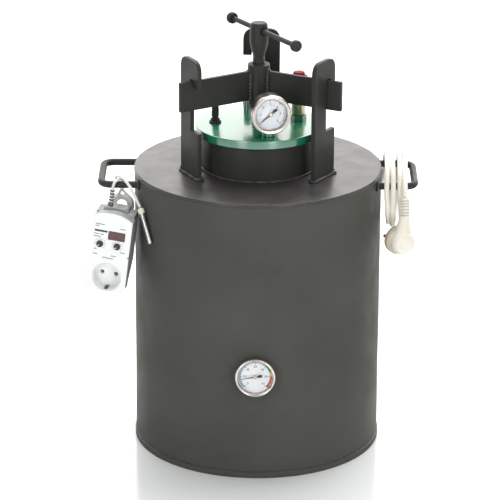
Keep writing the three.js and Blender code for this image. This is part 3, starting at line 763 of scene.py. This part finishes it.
def make_tommy():
    at = shift(z=BAR_Z) @ BAR_TURN @ BACK
    front, rear = -90.4, 67.6
    bar = [(0, front + 4), (3.4, front + 4), (3.5, front + 12), (3.5, rear - 12), (3.4, rear - 4),
           (0, rear - 4)]
    publish("tommy_rod", lathe(bar, 32), "frame", at, "tommy", ["tommy_bar"])
    for node, y in (("tommy_knob_front", front), ("tommy_knob_rear", rear)):
        ball = [(0, -3.6), (2.8, -3.8), (5.6, -5), (7.5, -3.2), (7.9, 0), (7.5, 3.2), (5.6, 5), (2.8, 3.8),
                (0, 3.6)]
        publish(node + "_ball", lathe(fillet(ball, 2.2, 4), 40, wobble=hammered), "frame", at @ shift(z=y),
                "tommy", [node])


# ---------------------------------------------------------------- lid


def make_lid():
    low, high = span("lid_plate")
    r = high.x
    top, under = 443, 432
    profile = [(0, under), (66, under), (66, low.z), (70.5, low.z), (70.5, under), (r, under), (r, top),
               (0, top)]
    rounded = fillet(profile, [0, 0, 0.6, 0.6, 0, 1.0, 1.4, 0], 5)
    publish("lid_enamelled", lathe(rounded, 160), "green", stands_for=["lid_plate"])
    low, high = span("screw_seat")
    seat = [(0, low.z), (9.3, low.z), (9.3, high.z), (8.7, high.z), (8.7, 447), (0, 447)]
    publish("screw_seat_cup", lathe(fillet(seat, 0.3), 48), "green", stands_for=["screw_seat"])
    seat_weld = bead("seat_weld", circle(9.6, low.z + 0.6, 48), 1.3, closed=True, seed=2)
    seat_weld.data.materials[0] = MATERIALS["green"]
    low, high = span("probe_pocket")
    at = foot_of("probe_pocket")
    pipe = [(0, low.z), (4.75, low.z), (4.75, high.z), (3.6, high.z), (3.6, low.z + 3), (0, low.z + 3)]
    publish("probe_pocket_pipe", lathe(fillet(pipe, 0.4), 40), "green", at, stands_for=["probe_pocket"])
    low, high = span("gauge_boss")
    at = foot_of("gauge_boss")
    boss = oblong(0, low.z, 9, high.z)
    publish("gauge_boss_turned", lathe(fillet(boss, 0.8), 48), "green", at, stands_for=["gauge_boss"])


# ---------------------------------------------------------------- dials


def plates(boxes, thick=0.14):
    """Thin bars on a dial, each (angle, from radius, to radius, width), as one mesh facing +Z."""
    bm = bmesh.new()
    for degrees, r0, r1, width in boxes:
        a = math.radians(degrees)
        along, across = Vector((math.cos(a), math.sin(a), 0)), Vector((-math.sin(a), math.cos(a), 0))
        low = [along * r0 - across * width / 2, along * r1 - across * width / 2,
               along * r1 + across * width / 2, along * r0 + across * width / 2]
        join_rings(bm, [[bm.verts.new(p + Vector((0, 0, z))) for p in low] for z in (0, thick)])
    return bm


def band(r0, r1, from_deg, to_deg, thick=0.1):
    """A sector of a flat ring on a dial, facing +Z."""
    bm = bmesh.new()
    steps = max(2, int(abs(to_deg - from_deg) / 3))
    rows = []
    for k in range(steps + 1):
        a = math.radians(from_deg + (to_deg - from_deg) * k / steps)
        ray = Vector((math.cos(a), math.sin(a), 0))
        lift = Vector((0, 0, thick))
        rows.append([bm.verts.new(p) for p in (ray * r0, ray * r1, ray * r1 + lift, ray * r0 + lift)])
    join_rings(bm, rows)
    return bm


def dial_face(prefix, at, level, radius, numbers, bands=()):
    """Ticks, a scale line, figures and coloured bands for a white card. at faces +Z to the reader."""
    card = at @ shift(z=level)
    minor, major = 4.5, 45
    fine = [(225 - minor * k, radius - 3.0, radius - 1.4, 0.22) for k in range(61) if (minor * k) % major]
    bold = [(225 - major * k, radius - 4.2, radius - 1.2, 0.55) for k in range(7)]
    publish(prefix + "_ticks", plates(fine), "soft_ink", card, sharp=30)
    publish(prefix + "_marks", plates(bold), "ink", card, sharp=30)
    publish(prefix + "_scale_line", band(radius - 1.45, radius - 1.2, 225, -45), "soft_ink", card, sharp=30)
    for k, text in enumerate(numbers):
        a = math.radians(225 - major * k)
        reach = radius - 7.4
        spot = card @ shift(reach * math.cos(a), reach * math.sin(a), 0)
        label(f"{prefix}_figure_{text}", text, 4.2 if len(text) < 3 else 3.4, "ink", spot)
    for k, (start, end, inner, outer, finish) in enumerate(bands):
        publish(f"{prefix}_band_{k}", band(inner, outer, start, end, 0.06), finish, card, sharp=30)


def pointer(prefix, at, level, angle, reach, tail, body, width=0.9):
    """A thin blade with a broad tail and a turned boss, pointing at angle."""
    blade = [(-tail, -1.9), (-tail * 0.45, -1.7), (-tail * 0.36, -0.9), (0, -width), (reach, -0.18),
             (reach, 0.18), (0, width), (-tail * 0.36, 0.9), (-tail * 0.45, 1.7), (-tail, 1.9)]
    bm = bmesh.new()
    join_rings(bm, [[bm.verts.new((x, y, z)) for x, y in fillet(blade, 0.3, 2, True)] for z in (0, 0.5)])
    place = at @ shift(z=level) @ turn(angle)
    publish(prefix + "_blade", bm, "black", place, body, [prefix], sharp=30)
    boss = [(0, -1.6), (1, -1.6), (1, -0.2), (2.6, -0.2), (2.6, 0.9), (1.9, 1.5), (0, 1.7)]
    publish(prefix + "_boss", lathe(fillet(boss, 0.3), 32), "brass", place, body)


GAUGE_AT = (14.1, -56.5, 474.4)
GAUGE_TURN = 14


def make_gauge():
    at = shift(*GAUGE_AT) @ turn(GAUGE_TURN) @ shift(y=9) @ FRONT
    can = [(0, -0.4), (25.9, -0.4), (25.9, 17.6), (22.8, 17.6), (22.8, 14), (0, 14)]
    publish("gauge_can", lathe(fillet(can, [0, 2.4, 0, 0, 0, 0], 5), 72), "black", at)
    rim = [(22.6, 15.4), (25.6, 15.4), (26.7, 17), (26.7, 21.2), (26, 22.6), (24.6, 23), (21.7, 22.4),
           (21.3, 21.9), (22.6, 21.7)]
    publish("gauge_bezel", lathe(fillet(rim, 0.5, 3, True), 96, True), "chrome", at,
            stands_for=["gauge_case"])
    # Inner wall of the bezel in plain grey plastic: the grey is painted shade and a painted reflection of
    # the chrome lip
    lip_painted_shade = [(21.2, 15.3), (22.5, 15.3), (22.5, 20.2), (22.2, 20.2)]
    publish("gauge_reflector", lathe(lip_painted_shade, 72, True), "grey", at)
    card = oblong(1.4, 14.3, 22.2, 15.2)
    publish("gauge_card", lathe(card, 72, True), "dial", at, stands_for=["gauge_dial"])
    bands = [(225, -45, 12.2, 12.5, "blue_ink"), (225, -45, 19.9, 20.3, "blue_ink")]
    dial_face("gauge", at, 15.2, 20.9, ["0", "1", "2", "3", "4", "5", "6"], bands)
    pointer("gauge_needle", at, 16.9, 218.7, 17.4, 11, "gauge_pointer", 1.2)
    lens = [(0, 20.6), (22.2, 20.5), (22.2, 21.4), (12, 21.9), (0, 22.1)]
    publish("gauge_lens", lathe(lens, 72), "glass", at, stands_for=["gauge_glass"])
    stem = [(0, 447.9), (6.6, 447.9), (6.6, 452.4), (5, 452.8), (5, 455.4), (0, 454.4)]

    def hexed(a, r, h):
        return r * 0.87 / math.cos((a % (TAU / 6)) - TAU / 12) if r > 6 else r

    publish("gauge_stem", lathe(stem, 48, wobble=hexed), "brass", shift(*GAUGE_AT[:2]) @ turn(GAUGE_TURN))


def make_thermometer():
    centre = middle("thermometer_glass")
    face = span("thermometer_case")[0].y
    at = shift(centre.x, face + 12.5, centre.z) @ FRONT
    rim = [(0, 0), (24.5, 0), (24.5, 6.6), (26.3, 8), (26.3, 11), (25.6, 12.2), (24.6, 12.5), (23.6, 12),
           (23.4, 11), (23.4, 3.5), (0, 3.5)]
    publish("thermometer_bezel", lathe(fillet(rim, 0.5, 3), 96), "chrome", at,
            stands_for=["thermometer_case"])
    card = oblong(1.4, 3.8, 23, 4.7)
    publish("thermometer_card", lathe(card, 72, True), "dial", at, stands_for=["thermometer_dial"])
    inner, outer = 19.4, 22.2
    bands = [(225, 60, inner, outer, "blue_ink"), (60, 15, inner, outer, "green_ink"),
             (15, 0, inner, outer, "yellow_ink"), (0, -45, inner, outer, "red_ink")]
    dial_face("thermometer", at, 4.7, 21.2, ["0", "20", "40", "60", "80", "100", "120"], bands)
    pointer("thermometer_needle", at, 6.6, 190, 18.6, 9, "thermometer_pointer", 0.8)
    lens = [(0, 9.9), (23, 9.9), (23, 10.7), (12, 11.2), (0, 11.4)]
    publish("thermometer_lens", lathe(lens, 72), "glass", at, stands_for=["thermometer_glass"])


# ---------------------------------------------------------------- valves


def hexagon(flat, low, high):
    """A wobble that makes the stretch from low to high hexagonal, flat millimetres from axis to flat."""
    def shape(a, r, z):
        if low <= z <= high and r > flat - 0.5:
            return min(r, flat / math.cos((a % (TAU / 6)) - TAU / 12))
        return r
    return shape


def make_safety_valve():
    nut_low, nut_high = span("valve_base_nut")
    at = foot_of("valve_body")
    nut = oblong(3.6, nut_low.z, 10.6, nut_high.z)
    publish("valve_nut", lathe(fillet(nut, 0.7, 3, True), 48, True, hexagon(9.3, 0, 900)), "green", at,
            stands_for=["valve_base_nut"])
    low, high = span("valve_body")
    barrel = [(3.6, low.z), (8.6, low.z), (9.6, low.z + 1),
              (9.6, high.z - 1), (8.8, high.z), (6.4, high.z), (6.4, 458), (3.6, 458)]
    publish("valve_barrel", lathe(fillet(barrel, 0.3, 2, True), 64, True), "brass", at,
            stands_for=["valve_body"])
    low, high = span("valve_knob")

    def grips(a, r, z):
        return r - 0.7 * max(0.0, math.sin(9 * a)) ** 2 if r > 11.4 and z < 503 else r

    knob = [(0, 463), (2.2, 463), (2.2, 500), (10.2, 500), (10.2, low.z + 22), (12.1, low.z + 22),
            (12.2, 502.6), (10.8, 505), (7.8, 505.4), (7.8, 508.6), (6.6, high.z), (0, high.z)]
    publish("relief_knob_moulded", lathe(fillet(knob, 0.5, 3), 120, wobble=grips), "red", at, "relief_knob",
            ["valve_knob"])


def make_air_valve():
    at = foot_of("air_valve_stem")
    stem = [(0, 443.3), (8, 443.3), (8, 445), (5.8, 445.4), (5.8, 448.6), (4, 449.6), (4, 451), (4.7, 452),
            (4.7, 469.2), (3.5, 469.2), (3.5, 478), (1.5, 478), (1.5, 458), (0, 458)]
    publish("air_valve_turned", lathe(fillet(stem, 0.25, 2), 48, wobble=hexagon(5.1, 445.3, 448.8)),
            "rubber", at, stands_for=["air_valve_stem"])

    def knurl(a, r, z):
        return r - 0.18 * max(0.0, math.sin(16 * a)) if 470.5 < z < 480.5 and r > 4.9 else r

    cap = [(3.9, 469.6), (5, 469.6), (5, 471), (5, 480), (4.9, 481.2), (4, 482.5), (0, 482.5), (0, 479),
           (3.9, 479)]
    publish("air_cap_moulded", lathe(cap, 96, True, knurl), "black", at, "air_cap", ["air_valve_cap"])


# ---------------------------------------------------------------- heater terminals


def make_terminals():
    low, high = span("terminal_cover")
    outline = fillet(oblong(low.x, low.z, high.x, high.z), 6, 6, True)
    publish("terminal_cover_moulded", prism(outline, high.y - low.y, low.y), "black",
            stands_for=["terminal_cover"], bevel=1.6)
    for x in (low.x + 9, high.x - 9):
        for z in (low.z + 9, high.z - 9):
            head = [(0, 0), (3.6, 0), (3.6, 1.0), (2.6, 1.9), (0, 2.1)]
            screw = publish(f"cover_screw_{'l' if x < 0 else 'r'}{'a' if z < 37 else 'b'}",
                            lathe(fillet(head, 0.3), 32), "steel", shift(x, high.y - 0.2, z) @ BACK)
            slot_cut = box((-3, -0.4, 1.3), (3, 0.4, 3))
            carve(screw, (slot_cut, shift(x, high.y - 0.2, z) @ BACK @ turn(35)))
    at = shift(high.x, 186, 40) @ RIGHT
    nut = [(3.8, -2), (6, -2), (6, 0.6), (9, 0.6), (9, 6), (6.6, 7.6), (3.8, 7.6)]
    publish("gland_nut", lathe(fillet(nut, 0.4, 2, True), 48, True, hexagon(8.1, 0.5, 6.1)), "black", at,
            stands_for=["cord_gland"])
    ribs = [(3.8, 7.4)]
    for k in range(5):
        ribs += [(6.2 - 0.35 * k, 7.8 + 2.8 * k), (6.1 - 0.35 * k, 9.4 + 2.8 * k),
                 (4.9 - 0.2 * k, 9.7 + 2.8 * k)]
    ribs += [(4.3, 21.9), (3.8, 21.9)]
    publish("gland_relief", lathe(ribs, 40, True), "black", at)


# ---------------------------------------------------------------- thermostat

CONTROL_AT = shift(-197.4, -92, 290) @ turn(-10) @ turn(7, "Y")
W, H, SPLIT, DEPTH = 28, 54, 20, 50
SOCKET_X, SOCKET_Z, SOCKET_R, RECESS_R, RECESS = 1.6, -33.6, 19.4, 18.4, 16
KNOBS = (("set_knob_left", "left_dial", -12.4), ("set_knob_right", "right_dial", 11))
KNOB_Z = 11.6


def face_outline(inset=0.0):
    arch = 5.6
    w, h = W - inset, H - inset
    eaves = h - arch - 1
    points = [(-w, -h), (w, -h), (w, eaves)]
    steps = [1 - k / 8 for k in range(17)]
    top = [((w - 2) * t, eaves + arch * (1 - t * t) + 1.4 * (1 - abs(t) ** 6)) for t in steps]
    points += top + [(-w, eaves)]
    return fillet(points, [8, 8, 2.5] + [0] * len(top) + [2.5], 7, True)


def flutes(a, r, z):
    return r - 0.22 * max(0.0, math.sin(14 * a)) if r > 3.9 and z > 0.5 else r


def make_control():
    at = CONTROL_AT
    to_face = at @ FRONT
    to_socket = to_face @ shift(SOCKET_X, SOCKET_Z)

    def bore():
        return lathe(oblong(0, -30, SOCKET_R + 0.25, 6), 72), to_socket

    shell = publish("thermostat_front_shell", prism(face_outline(0.5), SPLIT - 3.7, 3.4), "pale_grey", at,
                    stands_for=["thermostat_front"], bevel=0.5)
    pane = prism(fillet(oblong(-2.7, 19.1, 20.3, 31.5), 1, 3, True), 3.6, -1)
    notch = prism(oblong(W - 2.4, -3.6, W + 2, -1.2), 24, -2)
    carve(shell, bore(), (notch, at))
    panel = publish("thermostat_front_panel", prism(face_outline(), 3.4), "white", at,
                    stands_for=["thermostat_front"], bevel=1.1)
    notch = prism(oblong(W - 1.9, -3.6, W + 2, -1.2), 24, -2)
    cuts = [bore(), (pane, at), (notch, at)]
    for _, _, x in KNOBS:
        cuts.append((lathe(oblong(0, -4, 3.3, 4), 32), to_face @ shift(x, KNOB_Z)))
    carve(panel, *cuts)
    glass = prism(fillet(oblong(-2.1, 19.7, 19.7, 30.9), 0.8, 3, True), 1.8, 0.3)
    publish("display_pane", glass, "filter", at, stands_for=["display_window"], bevel=0.2)
    for node, body, x in KNOBS:
        profile = [(0, -3.6), (3, -3.6), (3, 0.4), (4.5, 0.4), (4.3, 3), (3.9, 3.4), (0, 3.2)]
        publish(node + "_moulded", lathe(fillet(profile, 0.25, 2), 84, wobble=flutes), "black",
                to_face @ shift(x, KNOB_Z), body, [node])
        publish(node + "_line", plates([(225, 0.8, 3.7, 0.9)], 0.35), "white",
                to_face @ shift(x, KNOB_Z, 3.1), body)
        marks = [(225 - 27 * k, 6.2, 7.6, 0.5) for k in range(11)]
        publish(node + "_scale", plates(marks, 0.1), "soft_ink", to_face @ shift(x, KNOB_Z), sharp=30)
    strip = prism(oblong(-21.5, 28.4, -4, 31), 0.25, -0.15)
    publish("front_strip", strip, "ink", at, sharp=30)
    dashes = [(-22, 24.4, 7), (-13.6, 24.4, 5), (-22, 21, 9.5), (-20, -3.6, 6), (4, -3.6, 7), (-21, 35.6, 5),
              (-21, 38.4, 12), (12, 36, 8), (-20, 3.2, 4), (16, 3.2, 6), (-7.5, -7.4, 15)]
    for k, (x, z, width) in enumerate(dashes):
        publish(f"front_dash_{k}", prism(oblong(x, z, x + width, z + 1.1), 0.2, -0.1),
                "soft_ink", at, sharp=30)

    # Rear housing
    side = fillet([(SPLIT, 4 - H), (SPLIT + 8, 4 - H), (DEPTH, 34 - H), (DEPTH, H - 4), (SPLIT, H - 4)],
                  [0, 3, 6, 5, 0], 6, True)
    rear_w = W - 2.5
    back = publish("thermostat_back_shell", prism(side, 2 * rear_w, -rear_w), "grey", at @ turn(90),
                   stands_for=["thermostat_back"], bevel=1.6)
    carve(back, (lathe(oblong(0, -23.4, SOCKET_R + 0.3, 6), 64), to_socket))
    entry = fillet(oblong(-18, H - 8, 16, H + 0.5), 4, 5, True)
    publish("cable_entry", prism(entry, 20, 27), "grey", at, bevel=1.2)
    for k, x in enumerate(PIN_X):
        pin = [(0, 0), (2.4, 0), (2.4, 16.6), (1.7, 18.6), (0, 19)]
        publish(f"mains_pin_{k}", lathe(fillet(pin, 0.6, 3), 32), "steel",
                at @ shift(x, DEPTH - 0.4, 2) @ BACK)
    for k, z in enumerate((H - 14, -8)):
        head = [(0, 0), (3, 0), (3, 0.5), (0, 0.7)]
        publish(f"housing_screw_{k}", lathe(head, 32), "steel",
                at @ shift(0 if k else 14, DEPTH - 0.2, z) @ BACK)

    # Socket
    cup = [(0, -22), (SOCKET_R, -22), (SOCKET_R, 0), (RECESS_R, 0), (RECESS_R, -RECESS), (0, -RECESS)]
    insert = publish("socket_cup", lathe(fillet(cup, [0, 0, 0.5, 0.5, 1, 0], 3), 96), "white",
                     to_socket, stands_for=["socket_insert"])
    holes = [(lathe([(0, -24), (2.7, -24), (2.7, -17), (3.3, -15.5), (3.3, 5), (0, 5)], 32),
              to_face @ shift(SOCKET_X + x, SOCKET_Z)) for x in PIN_X]
    carve(insert, *holes)
    for k, x in enumerate(PIN_X):
        dark = lathe(oblong(0, -21.5, 2.6, -20.5), 24)
        publish(f"socket_contact_{k}", dark, "copper", to_face @ shift(SOCKET_X + x, SOCKET_Z))
    spring = fillet([(2.6, SOCKET_Z - RECESS_R + 0.3), (15.6, SOCKET_Z - RECESS_R + 0.3),
                     (15.6, SOCKET_Z - RECESS_R + 1.4), (9, SOCKET_Z - RECESS_R + 2.6),
                     (2.6, SOCKET_Z - RECESS_R + 1.2)], 0.3, 3, True)
    publish("earth_spring", prism(spring, 4, -2), "copper", at @ shift(SOCKET_X) @ turn(90),
            stands_for=["earth_contact"], bevel=0.2)
    key = box((-1.6, 1.5, SOCKET_Z + RECESS_R - 1.6), (1.6, RECESS, SOCKET_Z + RECESS_R + 0.4))
    publish("socket_key", key, "white", at @ shift(SOCKET_X), bevel=0.3)

    # Strain relief: five dark rings on a pale core
    place = at @ shift(-10.4, 35, H + 0.9)
    core = [(0, 0), (2.3, 0), (2.1, 22), (0, 22)]
    publish("sensor_relief_core", lathe(core, 32), "sensor", place)
    collar = oblong(0, 0, 3.7, 1.1)
    publish("sensor_relief_foot", lathe(fillet(collar, 0.3), 40), "black", place,
            stands_for=["sensor_relief"])
    for k in range(5):
        z = 2.2 + 4.2 * k
        hoop = [(2.2, z), (3.5, z + 0.3), (3.5, z + 1.6), (2.2, z + 1.9)]
        publish(f"sensor_relief_ring_{k}", lathe(fillet(hoop, 0.4, 3, True), 40, True), "black", place)


# ---------------------------------------------------------------- cord ends

PROBE_FROM, PROBE_TO = Vector((-155.1, -75.4, 347.7)), Vector((-141.2, -93.9, 304))
PLUG_AT = Vector((190.3, -81, 304.8))
NECK_TOP = 341.5
PLUG_TURN = 25


def make_probe():
    along = PROBE_TO - PROBE_FROM
    at = shift(*PROBE_FROM) @ Vector((0, 0, 1)).rotation_difference(along).to_matrix().to_4x4()
    end = along.length
    collar = [(0, 0), (2.4, 0), (4.3, 1.4), (4.3, 7), (3.6, 7.6), (0, 7.6)]
    sleeve = publish("probe_collar", lathe(fillet(collar, 0.4, 3), 40), "cream", at)
    tube = [(0, 7), (3.25, 7), (3.25, 9.4), (2.95, 9.9), (3.25, 10.4), (3.25, end - 2), (2.2, end - 0.3),
            (0, end)]
    shaft = publish("probe_tube", lathe(fillet(tube, 0.6, 3), 40), "steel", at, stands_for=["sensor_probe"])
    return [sleeve, shaft]


def make_plug():
    at = shift(*PLUG_AT) @ turn(PLUG_TURN)
    half = 13.5
    round_body = [(0, -half), (8, -half), (13.6, -half + 2.4), (16.4, -half + 8), (17, half - 9),
                  (17, half - 8.4), (0, half - 8.4)]
    pieces = [publish("plug_shell", lathe(fillet(round_body, [0, 4, 4, 4, 1, 0, 0], 6), 96), "cream",
                      at @ BACK, stands_for=["plug_body"])]
    flange = [(0, half - 8.2), (18.5, half - 8.2), (19.3, half - 7.4), (19.3, half - 0.6), (18.5, half),
              (0, half)]
    edge = publish("plug_face", lathe(fillet(flange, 0.4, 3), 96), "plug_face", at @ BACK)
    pieces.append(edge)
    for k, x in enumerate(PIN_X):
        pin = [(0, half - 1), (2.4, half - 1), (2.4, half + 17), (1.6, half + 18.8), (0, half + 19)]
        pieces.append(publish(f"plug_pin_{k}", lathe(fillet(pin, 0.6, 3), 32), "steel",
                              at @ shift(x=x) @ BACK))
    top = NECK_TOP - PLUG_AT.z
    # Flattened a little, and leaning towards the strain relief
    leaning = Matrix(((1, 0, 0.121, 0), (0, 0.9, 0.046, 0), (0, 0, 1, 0), (0, 0, 0, 1)))
    neck = [(0, 2), (13, 2), (12.4, 10), (10.4, 19), (8, 27), (6.8, top), (0, top)]
    pieces.append(publish("plug_neck", lathe(fillet(neck, [0, 1, 6, 8, 6, 1, 0], 6), 64), "cream",
                          at @ leaning))
    end = Vector(MAINS_DROP[-1])
    low = NECK_TOP + 0.2
    lean = [Vector((193.8, -77, low)), Vector((193.9, -76, low + 7)), Vector((194, -74, low + 14)),
            Vector((end.x, end.y, 363.4))]
    path = smooth_path(lean, 0.45)
    count = len(path)

    def ribbed(i, a):
        taper = 6.2 - 0.5 * i / count
        along = (i / count) * 6 - 0.5
        inside = 0.2 < along % 1 < 0.62 and 0 <= along < 5
        # Slots on the front and back, with a solid rib up each side
        return taper - 2.5 if inside and abs(math.sin(a)) > 0.34 else taper

    pieces.append(publish("plug_relief_ribbed", sweep(path, ribbed, 40, section=Vector((1, 0, 0))), "cream",
                          stands_for=["plug_relief"], sharp=50))
    return pieces


make_vessel()
make_handles()
make_posts()
make_clamp()
make_screw()
make_tommy()
make_lid()
make_gauge()
make_thermometer()
make_safety_valve()
make_air_valve()
make_terminals()
make_control()
probe_pieces = make_probe()
plug_pieces = make_plug()

# These keep their CAD shape, most of it out of sight inside the vessel and the valve
CAD_FINISHES = {
    "heater_element": "steel", "heater_flange": "brass", "jar_rack": "steel",
    "thermometer_well": "steel", "valve_disc": "rubber", "valve_spring": "steel",
}
for node, finish in CAD_FINISHES.items():
    materials = bpy.data.objects[node].data.materials
    materials.clear()
    materials.append(MATERIALS[finish])

# ---------------------------------------------------------------- stage and light


def make_stage():
    s = Shader("pale_floor", (0.8, 0.83, 0.83), 0.12, ior=1.6)
    s.tint(s.pattern(3, 3), (0.78, 0.81, 0.81), 0.5)
    s.worn(s.pattern(5, 3), 0.1, 0.15)
    bm = bmesh.new()
    bmesh.ops.create_grid(bm, x_segments=8, y_segments=8, size=6)
    mesh = bpy.data.meshes.new("floor")
    bm.to_mesh(mesh)
    bm.free()
    mesh.materials.append(s.material)
    floor = bpy.data.objects.new("floor", mesh)
    bpy.context.collection.objects.link(floor)


def make_world():
    """A pale backdrop low behind the canner, a soft ceiling, and less light from the left than the right."""
    world = bpy.data.worlds.new("studio")
    world.use_nodes = True
    nodes, links = world.node_tree.nodes, world.node_tree.links
    where = nodes.new("ShaderNodeTexCoord")
    parts = nodes.new("ShaderNodeSeparateXYZ")
    links.new(where.outputs["Generated"], parts.inputs["Vector"])

    def ramp(axis, start, end, low, high):
        node = nodes.new("ShaderNodeMapRange")
        node.interpolation_type = "SMOOTHSTEP"
        for name, value in (("From Min", start), ("From Max", end), ("To Min", low), ("To Max", high)):
            node.inputs[name].default_value = value
        links.new(parts.outputs[axis], node.inputs["Value"])
        return node.outputs["Result"]

    def both(operation, a, b):
        node = nodes.new("ShaderNodeMath")
        node.operation = operation
        links.new(a, node.inputs[0])
        links.new(b, node.inputs[1])
        return node.outputs["Value"]

    backdrop = both("MULTIPLY", ramp("Y", 0.05, 0.55, 0, 2.1), ramp("Z", 0.6, 0.85, 1, 0))
    room = both("ADD", ramp("X", -0.9, 0.7, 0.15, 0.45), ramp("Z", 0.45, 0.95, 0, 0.7))
    sky = nodes["Background"]
    sky.inputs["Color"].default_value = (1, 0.985, 0.96, 1)
    links.new(both("ADD", backdrop, room), sky.inputs["Strength"])
    bpy.context.scene.world = world


def make_light(name, at, target, size, power, size_y=None):
    data = bpy.data.lights.new(name, "AREA")
    data.energy = power
    data.size = size
    if size_y:
        data.shape = "RECTANGLE"
        data.size_y = size_y
    lamp = bpy.data.objects.new(name, data)
    lamp.location = at
    lamp.rotation_euler = (Vector(target) - Vector(at)).to_track_quat("-Z", "Y").to_euler()
    bpy.context.collection.objects.link(lamp)


make_stage()
make_world()
make_light("left", (-1.3, -2.4, 0.9), (0, 0, 0.3), 0.7, 22, 1.6)
make_light("right", (1.2, -2.5, 0.9), (0, 0, 0.3), 0.7, 20, 1.6)
make_light("top", (0.3, 1.3, 2.5), (0, 0, 0.2), 2.4, 75)
bpy.context.scene.view_settings.view_transform = "Standard"

bpy.context.view_layer.update()
